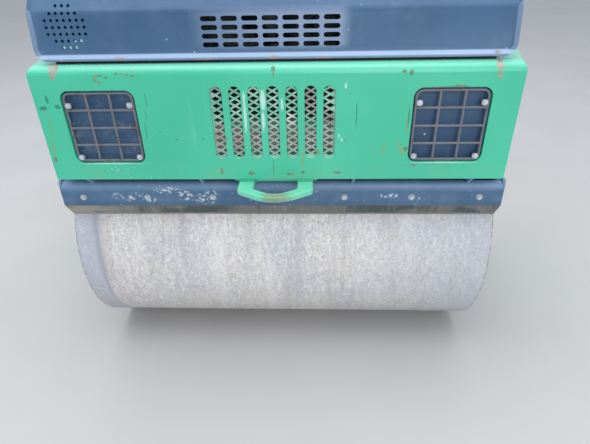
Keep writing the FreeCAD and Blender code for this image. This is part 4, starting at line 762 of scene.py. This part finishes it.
def lamp_guards(end, out):
    """Grid of rounded bars in each lamp window, on four legs; it stands for the node."""
    node, rod = end + "_lamp_guards", 0.003
    low_z, high_z = low(node)[2], high(node)[2]
    half_x, half_z = (GUARD_OUT - GUARD_IN) / 2, (high_z - low_z) / 2
    ring = np.insert(rounded_ring(half_x - rod, half_z - rod, GUARD_ROUND - rod, 8), 1, 0.0, axis=1)
    bars = [((x, 0, 0), (rod, rod, half_z - rod), 0.002, 2) for x in (-half_x / 3, half_x / 3)]
    bars += [((0, 0, z), (half_x - rod, 0.0025, rod), 0.002, 0) for z in (-half_z / 2, 0.0, half_z / 2)]
    bars += [((x, out * -0.0075, z), (rod, 0.0075, rod), 0.001, 1)
             for x in (rod - half_x, half_x - rod) for z in (-0.040, 0.043)]
    grids = []
    for side in SIDES:
        middle = np.array((side * (GUARD_IN + GUARD_OUT) / 2, out * (FACE - 0.0035), (low_z + high_z) / 2))
        grids.append(tube(middle + ring, rod, 10, True))
        grids += [block_at(middle + place, half, radius, 0.0005, axis) for place, half, radius, axis in bars]
    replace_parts(piece(node + "_bars", grids, "guard_steel", end + "_frame"), node)


def both_ends():
    """Bolts, tabs, nipples, pads and beads that the front end and the rear end share."""
    pad = [(0.030, -0.001), (0.030, 0.010), (0.026, 0.013)]
    for end, out in (("front", -1.0), ("rear", 1.0)):
        body, drum, outward = end + "_frame", end + "_drum", (0, out, 0)
        bolts(end + "_beam_bolts", [((0.1785 * i, out * BEAM_FACE, 0.586), outward) for i in range(-3, 4)],
              body, 0.011, 0.006)
        lamp_guards(end, out)
        corners = [np.array((side * x, out * (FACE - 0.0012), z)) for side in SIDES for x, z in LAMP_BOLTS]
        piece(end + "_guard_tabs", [block_at(place, (0.008, 0.0018, 0.007), 0.003, 0.0008, 1) for place in corners],
              "guard_steel", body)
        bolts(end + "_guard_bolts", [(place + (0, out * 0.0018, 0), outward) for place in corners], body,
              0.009, 0.005, "bolt_steel")
        cover = high(end + "_hub_mounts")[0] - 0.010
        bolts(end + "_hub_bolts", [spot for row in axle_ends(out, cover) for spot in round_of(*row, 0.084, 6)],
              body, 0.017, 0.009)
        grease = [nipple(*row, 0.003, 0.005, 0.007, 0.009) for row in axle_ends(out, cover + 0.010)]
        piece(end + "_hub_grease_nipples", grease, "bolt_steel", body)
        legs = [weld([(side * x, out * (FACE + 0.001), 0.6535) for x in (0.055, 0.095)], 0.003) for side in SIDES]
        piece(end + "_loop_welds", legs, "weld_green", body)
        mounts = [spot for row in axle_ends(out, DRUM_WEB) for spot in round_of(*row, 0.215, 8)]
        piece(end + "_drum_mount_pads", [knob(pad, *spot, 24) for spot in mounts], "buffer_rubber", drum)
        bolts(end + "_drum_mount_bolts", [(place + 0.012 * axis, axis) for place, axis in mounts], drum,
              0.019, 0.011)
        seams = [weld([(side * (DRUM_WEB + 0.002), out * AXLE + DRUM_WEB_SEAM * math.sin(t),
                        AXLE_Z + DRUM_WEB_SEAM * math.cos(t)) for t in circle(90)], 0.006, True) for side in SIDES]
        piece(end + "_drum_web_welds", seams, "drum_steel", drum)


def slot_pale_heaps():
    """Pale heaps lying in the lower end of each slot: from the arc z = c - r s up to z = c - (r - h) s,
    with s = sqrt(1 - u^2) across the slot, sloping from the face back to the screen."""
    u = np.linspace(-1, 1, 17)
    s = np.sqrt(1 - u * u)
    radius, centre, screen = 0.0139, 0.727, low("screen_mesh")[1]
    section = ((0.0004 - FACE, 0.0), ((screen - FACE) / 2, 0.75), (screen, 1.0), (screen, 0.0))
    heaps = [np.stack([np.stack([0.0444 * (i - 3) + radius * u, 0 * u + y, centre - (radius - height * share) * s], 1)
                       for y, share in section], 1)
             for i, height in enumerate((0.004, 0.004, 0.006, 0.007, 0.008, 0.009, 0.007))]
    piece("slot_pale_heaps", heaps, "slot_pale_heaps", "front_frame")


def steering_joint():
    """Beads on the lugs and the housing, bolts and grease nipple of the joint, unions of the cylinder."""
    wall, housing = 0.001 - WALL, 0.2485
    beads = [weld([(x, wall, z) for x in (-0.216, 0.216)], 0.005) for z in (0.328, 0.357, 0.538, 0.567)]
    beads += [weld([(x, wall, z) for z in (0.43, 0.90)]) for x in (-CORNER_WELD, CORNER_WELD)]
    piece("front_wall_welds", beads, "weld_green", "front_frame")
    beads = [weld([(0.086 * math.cos(t), housing, JOINT_Z + 0.086 * math.sin(t)) for t in circle(60)], 0.005, True)]
    beads += [weld([(side * 0.087, 0.145, z), (side * 0.195, 0.248, z)], 0.003)
              for side in SIDES for z in (JOINT_Z - 0.0085, JOINT_Z + 0.0085)]
    beads += [weld([(x, housing, z) for z in (0.43, 0.59)]) for x in (-CORNER_WELD, CORNER_WELD)]
    piece("rear_wall_welds", beads, "weld_green", "rear_frame")
    back, top, bottom = high("steer_knuckle")[1], high("steer_knuckle")[2], low("steer_knuckle")[2]
    bolts("retainer_bolts", round_of((0, back, JOINT_Z), BACK, 0.045, 4, 0.785), "knuckle", 0.017, 0.010)
    keeper = [spot for z, up in ((top, 1), (bottom, -1)) for spot in round_of((0, 0, z), (0, 0, up), 0.024, 3)]
    bolts("steer_pin_bolts", keeper, "knuckle", 0.013, 0.007)
    piece("joint_grease_nipples", [nipple((0, 0.20, JOINT_Z + 0.0845), UP, 0.004, 0.008, 0.012, 0.015)], "bolt_steel",
          "rear_frame")
    unions = []
    for reach in (0.060, 0.225):
        foot = np.array((-0.120 - 0.06048 * reach, -0.345 + 0.998169 * reach, JOINT_Z + 0.0245))
        unions += [knob([(0.010, 0), (0.010, 0.010), (0.008, 0.011), (0.008, 0.020)], foot, UP, 6),
                   knob([(0.0065, -0.017), (0.0065, 0.017)], foot + (0, 0, 0.015), (1, 0, 0), 14)]
    piece("cylinder_unions", unions, "bolt_steel", "cylinder_barrel")


def engine_dressing():
    """Under the hood: the engine's plain block dressed, with the fan, the battery and a bottle by it."""
    top = high("engine")[2]
    air, pipe, hub = np.array((0.145, -0.80, top + 0.072)), (-0.205, -0.82, top + 0.062), np.array((0, -1.105, 0.93))
    bend, run = np.linspace(0, np.pi / 2, 10), np.linspace(0, 1, 14)

    def fitted(name, grids, finish, slot=None, wrap=True):
        piece(name, grids, finish, "front_frame", wrap)

    fitted("rocker_cover", [rounded_block((-0.13, -0.99, top - 0.004), (0.03, -0.68, top + 0.055), 0.018, 0.012),
                            rounded_block((-0.09, -0.97, top + 0.050), (-0.01, -0.70, top + 0.075), 0.012, 0.006)],
           "engine_iron")
    ribs = [block_at((side * 0.2335, 0.045 * i - 1.005, 0.965), (0.0045, 0.005, 0.125), 0.002, 0.002)
            for side in SIDES for i in range(8)]
    ribs += [block_at((0, -0.6475, 0.856 + 0.05 * i), (0.226, 0.004, 0.006), 0.003, 0.002) for i in range(5)]
    fitted("crankcase_ribs", ribs, "engine_iron")
    bolts("rocker_cover_bolts", [((x, y, top + 0.055), UP) for x in (-0.115, 0.015) for y in (-0.96, -0.87, -0.78, -0.70)],
          "front_frame", 0.012, 0.008)
    fitted("air_cleaner", [knob([(0.060, -0.13), (0.066, -0.124), (0.066, 0.09), (0.070, 0.092), (0.070, 0.112),
                                 (0.064, 0.118), (0.030, 0.126)], air, BACK, 40)], "black_plastic")
    clamp = [(0.0675, -0.008), (0.0685, -0.006), (0.0685, 0.006), (0.0675, 0.008), (0.06, 0.008), (0.06, -0.008)]
    fitted("air_cleaner_clamps", [hoop(clamp, air + (0, y, 0), BACK, 40) for y in (-0.08, 0.04)], "galvanised_steel")
    duct = air + np.stack([-0.09 * np.sin(bend), -0.125 - 0.045 * np.sin(2 * bend), -0.02 * np.sin(bend)], 1)
    fitted("intake_duct", [tube(duct, 0.024, 16)], "buffer_rubber")
    silencer = knob([(0.045, -0.15), (0.055, -0.143), (0.055, 0.143), (0.045, 0.15)], pipe, BACK, 36)
    outlet = np.stack([0 * bend, 0.15 + 0.06 * np.sin(bend), -0.05 * (1 - np.cos(bend))], 1) + pipe
    fitted("silencer", [silencer, tube(outlet, 0.018, 16)], "silencer_rust", "engine_iron")
    fitted("oil_filter", [knob([(0.042, 0), (0.046, 0.006), (0.046, 0.085), (0.038, 0.095)],
                               (0.229, -0.90, 0.90), (1, 0, 0), 32)], "filter_orange", "engine_iron")
    outlets = [-0.785 + 0.03 * i for i in range(3)]
    pump = [rounded_block((0.228, -0.80, 0.93), (0.285, -0.70, 1.02), 0.010, 0.006, 0)]
    pump += [knob([(0.011, 0), (0.011, 0.02), (0.007, 0.024)], (0.257, y, 1.018), UP, 6) for y in outlets]
    fitted("injection_pump", pump, "galvanised_steel")
    fitted("injection_lines", [tube(np.stack([0.257 - 0.236 * run, y - 0.06 * run, 1.04 + 0.14 * np.sin(1.95 * run)], 1),
                                    0.0035, 8) for y in outlets], "galvanised_steel")
    battery = [rounded_block((-0.47, -0.64, 0.943), (-0.25, -0.47, 1.10), 0.008, 0.004)]
    battery += [knob([(0.013, 0), (0.013, 0.006), (0.010, 0.008)], (-0.45 + 0.036 * i, -0.50, 1.099), UP, 20)
                for i in range(6)]
    fitted("battery", battery, "black_plastic")
    fitted("battery_posts", [knob([(0.010, 0), (0.008, 0.016)], (x, -0.605, 1.099), UP, 16) for x in (-0.44, -0.28)],
           "bolt_steel", "galvanised_steel")
    reach, chord = np.meshgrid(np.linspace(0.03, 0.155, 6), np.linspace(-0.5, 0.5, 5), indexing="ij")
    blades = []
    for turn in circle(6):
        angle = turn + chord * 0.55
        sheet = hub + np.stack([reach * np.cos(angle), 0.035 * chord * (1.4 - reach * 4), reach * np.sin(angle)], 2)
        blades.append(np.concatenate([sheet, sheet[::-1] + (0, 0.003, 0), sheet[:1]]))
    fitted("fan_blades", blades, "black_plastic", wrap=False)
    middle = [(0.030, -0.022), (0.036, -0.016), (0.036, 0.020), (0.020, 0.020), (0.020, 0.040)]
    shroud = [(0.170, -0.045), (0.174, -0.045), (0.180, 0.02), (0.176, 0.02)]
    fitted("fan_hub", [knob(middle, hub, BACK, 32), hoop(shroud, hub, BACK, 64)], "black_plastic")
    fitted("coolant_bottle", [rounded_block((0.09, -1.115, 0.975), (0.19, -1.055, 1.036), 0.012, 0.006)], "black_plastic")
    cap = [(0.020, 0), (0.020, 0.010), (0.024, 0.012), (0.024, 0.020), (0.018, 0.023)]
    fitted("coolant_cap", [knob(cap, (0.14, -1.08, 1.035), UP, 24)], "black_plastic")


def operator_place():
    """Bars of the floor's tread, studs of the steps, plates that close the riser, seams, bolts of the rails."""
    x, y = np.meshgrid(np.arange(-0.54, 0.541, 0.034), np.arange(-0.040, 0.545, 0.034))
    column, row = np.meshgrid(np.arange(x.shape[1]), np.arange(x.shape[0]))
    lean = np.where((column + row) % 2, 1.0, -1.0) * np.pi / 4
    free = ~((np.abs(x) < 0.140) & (y > 0.045) & (y < 0.205))
    x, y, lean = x[free], y[free], lean[free]
    none = 0 * lean
    turn = np.array([[np.cos(lean), -np.sin(lean), none], [np.sin(lean), np.cos(lean), none], [none, none, none + 1]])
    edge = np.array([(1, 0, 0), (0, 0.26, 0), (-1, 0, 0), (0, -0.26, 0)]) * 0.0125
    levels = [(0.0, -0.0005), (1.0, -0.0005), (1.0, 0.0), (0.62, 0.0018), (0.0, 0.0018)]
    bar = np.stack([edge * share + (0, 0, height) for share, height in levels])
    bars = np.einsum("ijn,rcj->nrci", turn, bar) + np.stack([x, y, none + FLOOR_PLATE], 1)[:, None, None]
    piece("floor_tread_bars", [bars], "tread_steel", "rear_frame")
    stud = [(0.008, -0.0005), (0.0055, 0.0035), (0.0035, 0.0035), (0.003, 0.002)]
    studs = [knob(stud, (side * (0.578 + 0.026 * i), 0.040 + 0.0243 * j, 0.330), UP, 12)
             for side in SIDES for i in range(3) for j in range(8)]
    piece("step_studs", studs, "tread_steel", "rear_frame")
    ears = [rounded_block((x - 0.0565, 0.5562, 0.910), (x + 0.0565, 0.5612, SHELF - 0.0062), 0.002, 0.001)
            for x in (-0.5550, 0.5550)]
    piece("riser_ears", ears, "green_paint", "rear_frame")
    seams = [weld([(-x, front, z), (x, front, z), (x, rear, z), (-x, rear, z)], closed=True)
             for x, front, rear, z in ((0.127, 0.058, 0.192, FLOOR_PLATE), (0.167, 0.708, 0.972, SHELF))]
    piece("console_welds", seams, "rail_paint", "rear_frame")
    feet = [(side * 0.560, y, SHELF + 0.008) for side in SIDES for y in (0.610, 1.080)]
    bolts("rail_bolts", [spot for place in feet for spot in round_of(place, UP, 0.027, 4, 0.785)], "rear_frame",
          0.009, 0.005)


def dash():
    """Two gauges, three lamps and a key switch on the sloping dash; gaiter of the lever, cap of the wheel
    and collar of its column."""
    out, up = np.array((0.0, 0.9162, 0.4008)), np.array((0.0, -0.4008, 0.9162))
    lean, gauges = np.array((0, 0.4226, 0.9063)), (-0.078, 0.078)

    def spot(x, rise=0.0, proud=0.0):
        return (x, 0.1975, 1.050) + up * rise + out * proud

    def stroke(start, angle, reaches, half_width):
        ray = (math.sin(angle), 0, 0) + math.cos(angle) * up
        return band([start + ray * r for r in reaches], np.cross(ray, out) * half_width, 0.0006)

    def fitted(name, grids, finish, slot="black_plastic"):
        piece(name, grids, finish, "rear_frame")

    bezel = [(0.0285, 0), (0.0285, 0.007), (0.0270, 0.009), (0.0250, 0.009), (0.0245, 0.006)]
    fitted("gauge_bezels", [knob(bezel, spot(x), out, 36) for x in gauges], "black_plastic")
    fitted("gauge_faces", [knob([(0.0243, 0.0055), (0.0243, 0.0066)], spot(x), out, 36) for x in gauges], "dial_face")
    ticks = [stroke(spot(x, 0, 0.0068), math.radians(-120 + 24 * i), (0.0165, 0.019, 0.0215), 0.0007)
             for x in gauges for i in range(11)]
    fitted("gauge_ticks", ticks, "dial_white")
    needles = []
    for x, reading in zip(gauges, (0.6, -0.5)):
        start = spot(x, 0, 0.0076)
        needles += [stroke(start, reading, (-0.004, 0.008, 0.018), 0.0008),
                    turned([(0, -0.0008), (0.003, -0.0008), (0.003, 0.001), (0, 0.0016)], start, out, 16)]
    fitted("gauge_needles", needles, "dial_red")
    lamp = [(0, 0), (0.0065, 0), (0.0065, 0.002), (0.0045, 0.004), (0, 0.005)]
    fitted("warning_lamps", [turned(lamp, spot(x, -0.030), out, 20) for x in (-0.104, -0.084, -0.064)], "dial_red")
    key = [knob([(0.013, 0), (0.013, 0.005), (0.010, 0.008)], spot(0.084, -0.031), out, 28),
           block_at(spot(0.084, -0.031, 0.018), (0.0012, 0.013, 0.010), 0.0008, 0.0006, 0)]
    fitted("key_switch", key, "bolt_steel", "galvanised_steel")
    folds = [(radius - 0.0022 * i, 0.003 * i + height) for i in range(5) for radius, height in ((0.030, 0), (0.0255, 0.0015))]
    gaiter = turned([(0, -0.004), *folds, (0, 0.0165)], (0.1255, 0.150, 1.000), (1, 0, 0), 32)
    fitted("lever_gaiter", [gaiter], "buffer_rubber", "buffer_rubber")
    boss = [(0.034, 0), (0.037, 0.004), (0.036, 0.012), (0.026, 0.019), (0.010, 0.022)]
    piece("wheel_cap", [knob(boss, (0, 0.31256, 1.30283) + lean * 0.041, lean, 40)], "black_plastic", "steering_wheel")
    collar = [(0.0225, 0), (0.030, 0.002), (0.030, 0.018), (0.0225, 0.026)]
    fitted("column_collar", [hoop(collar, (0, 0.190, 1.040) + lean * 0.012, lean, 36)], "buffer_rubber", "buffer_rubber")


def tank_fittings():
    """Straps over the water tank, their bolts, its drain plug and the seal of its filler."""
    low_y, high_y = low("water_tank")[1] - 0.001, high("water_tank")[1] + 0.001
    straps, s = (-0.345, 0.0, 0.345), np.sin(np.linspace(0, np.pi / 2, 6))
    rise = SHELF + 0.227 + 0.024 * s
    path = [(low_y, SHELF), (low_y, SHELF + 0.12), *zip(low_y + 0.023 * (1 - s[::-1]), rise),
            *zip(high_y - 0.023 * (1 - s), rise[::-1]), (high_y, SHELF + 0.12), (high_y, SHELF)]
    piece("tank_straps", [band([(x, y, z) for y, z in path], (0.015, 0, 0), 0.002) for x in straps], "dark_steel",
          "rear_frame")
    bolts("tank_strap_bolts", [((x, high_y + 0.001, SHELF + 0.030), BACK) for x in straps], "rear_frame",
          0.011, 0.006, "bolt_steel")
    tap = [(0.012, 0), (0.012, 0.010), (0.009, 0.012), (0.009, 0.024)]
    piece("tank_drain_plug", [knob(tap, (0.385, high_y - 0.002, SHELF + 0.045), BACK, 6)], "bolt_steel", "rear_frame")
    seal = [(0.0345, 0), (0.041, 0.0005), (0.041, 0.004), (0.0345, 0.004)]
    piece("filler_seal", [hoop(seal, (-0.250, 1.155, SHELF + 0.2585), UP, 40)], "buffer_rubber", "rear_frame")


def hood_fittings():
    """Rubber strip under the hood's front, screws of the hinges, and louvres pressed in the cowl: each
    stands out by h cos(pi v / 2) sqrt(1 - sin(u)^6), open at its lower edge."""
    strip = rounded_block((-0.508, 0.004 - HOOD_FACE, SHELF - 0.0005), (0.508, 0.014 - HOOD_FACE, SHELF + 0.0068),
                          0.003, 0.002, 0)
    piece("hood_seal", [strip], "buffer_rubber", "front_frame")
    u, v = np.meshgrid(np.linspace(-np.pi / 2, np.pi / 2, 13), np.linspace(0, 1, 6), indexing="ij")
    swell = 0.010 * np.cos(np.pi / 2 * v) * np.sqrt(1 - np.sin(u) ** 6)
    louvres = [np.stack([side * 0.24 + 0.095 * np.sin(u), swell - 0.4244, 1.045 + 0.030 * i + 0.019 * v], 2)
               for side in (-1, 1) for i in range(8)]
    item = piece("cowl_louvres", louvres, "blue_paint", "front_frame", wrap=False)
    item.modifiers.new("sheet", "SOLIDIFY").thickness = 0.0016
    screws = [((side * x, -0.467, high("hood")[2] - 0.0205), UP) for side in SIDES for x in (0.310, 0.330)]
    bolts("hinge_screws", screws, "hood", 0.008, 0.004)


for build in (both_ends, slot_pale_heaps, steering_joint, engine_dressing, operator_place, dash, tank_fittings, hood_fittings):
    build()


# Seat

PAD_SHRINK, PAD_CAP, PAD_RIM = 0.010, 0.009, 0.022


def pillow(node):
    """Padded copy of a CAD cushion: voxel remesh, 20 steps of cloth under pressure, movement capped."""
    mesh = NODES[node].data.copy()
    merged(mesh, 0.3)
    middle, size = (low(node) + high(node)) / 2, high(node) - low(node)
    points = middle + (points_of(mesh) - middle) * (1 - 2 * PAD_SHRINK / size)
    mesh.vertices.foreach_set("co", points.ravel())
    item = linked(node + "_pad", mesh)
    bpy.context.view_layer.objects.active = item
    item.select_set(True)
    remesh = item.modifiers.new("remesh", "REMESH")
    remesh.mode = "VOXEL"
    remesh.voxel_size = 0.006
    bpy.ops.object.modifier_apply(modifier="remesh")
    start = points_of(item.data)
    cloth = item.modifiers.new("cloth", "CLOTH")
    cloth.settings.use_pressure = True
    cloth.settings.uniform_pressure_force = 4.0
    cloth.settings.effector_weights.gravity = 0.0
    for number in range(1, 21):
        bpy.context.scene.frame_set(number)
    bpy.ops.object.modifier_apply(modifier="cloth")
    bpy.context.scene.frame_set(1)
    move = points_of(item.data) - start
    reach = np.linalg.norm(move, axis=1)[:, None]
    move *= np.minimum(1.0, PAD_CAP / np.maximum(reach, 1e-9))
    item.data.vertices.foreach_set("co", (start + move).ravel())
    item.data.shade_smooth()
    item.select_set(False)
    smooth = item.modifiers.new("smooth", "SUBSURF")
    smooth.levels = 1
    smooth.render_levels = 1
    painted(item.data, "seat_vinyl")
    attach(item, "rear_frame")
    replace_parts(item, node)
    return item


def piping(item, node, radius, towards, seams):
    """Welted edge round a pad's face and sewn lines across it, carried towards the padded surface until
    they lie on it, a little sunk in."""
    mesh, way = item.data, Vector(towards)
    tree = BVHTree.FromPolygons([v.co for v in mesh.vertices], [p.vertices for p in mesh.polygons])
    u, v = [i for i in range(3) if not towards[i]]
    middle, half = (low(node) + high(node)) / 2, (high(node) - low(node)) / 2 - PAD_RIM

    def laid(flat):
        points = np.zeros((len(flat), 3)) + middle
        points[:, [u, v]] += flat
        for point in points:
            hit = tree.ray_cast(Vector(point) - way * 0.2, way)[0]
            if hit:
                point[:] = hit + way * 0.0012
        return points

    ring = along(np.pad(rounded_ring(half[u], half[v], radius, 10), ((0, 0), (0, 1))), 0.008, True)[:, :2]
    grids = [tube(laid(ring), 0.0042, 8, True)]
    reach = np.linspace(-1, 1, 60)
    for share in seams:
        grids.append(tube(laid(np.stack([reach * (half[u] - 0.002), 0 * reach + share * half[v]], 1)), 0.0022, 6))
    piece(node + "_piping", grids, "seat_piping", "rear_frame")


piping(pillow("seat_cushion"), "seat_cushion", 0.035, (0, 0, -1), (-0.5, 0.0, 0.5))
piping(pillow("seat_back"), "seat_back", 0.045, (0, 1, 0), (-0.55, 0.0, 0.55))


# Camera, floor and light

def camera():
    """The photograph's camera: yaw about the upright, then down, then roll."""
    yaw, down, roll = CAMERA_YAW, CAMERA_DOWN, CAMERA_ROLL
    forward = Vector((math.sin(yaw) * math.cos(down), math.cos(yaw) * math.cos(down), -math.sin(down)))
    right = Vector((math.cos(yaw), -math.sin(yaw), 0.0))
    upward = right.cross(forward)
    right, upward = (right * math.cos(roll) + upward * math.sin(roll),
                     upward * math.cos(roll) - right * math.sin(roll))
    data = bpy.data.cameras.new("photo_camera")
    data.sensor_width = SENSOR
    data.lens = FOCAL_PIXELS / IMAGE_WIDTH * SENSOR
    item = linked("photo_camera", data)
    item.matrix_world = Matrix.Translation(CAMERA_PLACE) @ Matrix((right, upward, -forward)).transposed().to_4x4()
    bpy.context.scene.camera = item


def floor(reach=30.0):
    mesh = bpy.data.meshes.new("floor")
    mesh.from_pydata([(-reach, -reach, 0), (reach, -reach, 0), (reach, reach, 0), (-reach, reach, 0)], [],
                     [(0, 1, 2, 3)])
    finish = Finish("floor_concrete", Metallic=0.0)
    cloud = finish.noise(1.5, 4.0)
    finish.base = cloud.mix((0.44, 0.43, 0.42, 1), (0.52, 0.51, 0.50, 1))
    mesh.materials.append(finish.done(0.8 + 0.1 * cloud))
    linked("floor", mesh)


def area_light(name, place, aim, size, energy):
    data = bpy.data.lights.new(name, "AREA")
    data.shape = "DISK"
    data.size, data.energy = size, energy
    turn = (Vector(aim) - Vector(place)).to_track_quat("-Z", "Y")
    linked(name, data).matrix_world = Matrix.Translation(place) @ turn.to_matrix().to_4x4()


def light():
    world = bpy.data.worlds.new("sky")
    world.use_nodes = True
    background = world.node_tree.nodes["Background"]
    background.inputs[0].default_value = (0.82, 0.89, 1.0, 1.0)
    background.inputs[1].default_value = 0.84
    bpy.context.scene.world = world
    area_light("overcast", (-0.4, -1.0, 5.5), (0, -0.4, 0.5), 6.0, 260.0)
    area_light("front_fill", (1.2, -5.0, 2.2), (0, 0, 0.6), 3.0, 75.0)
    bpy.context.scene.view_settings.view_transform = "Standard"


camera()
floor()
light()
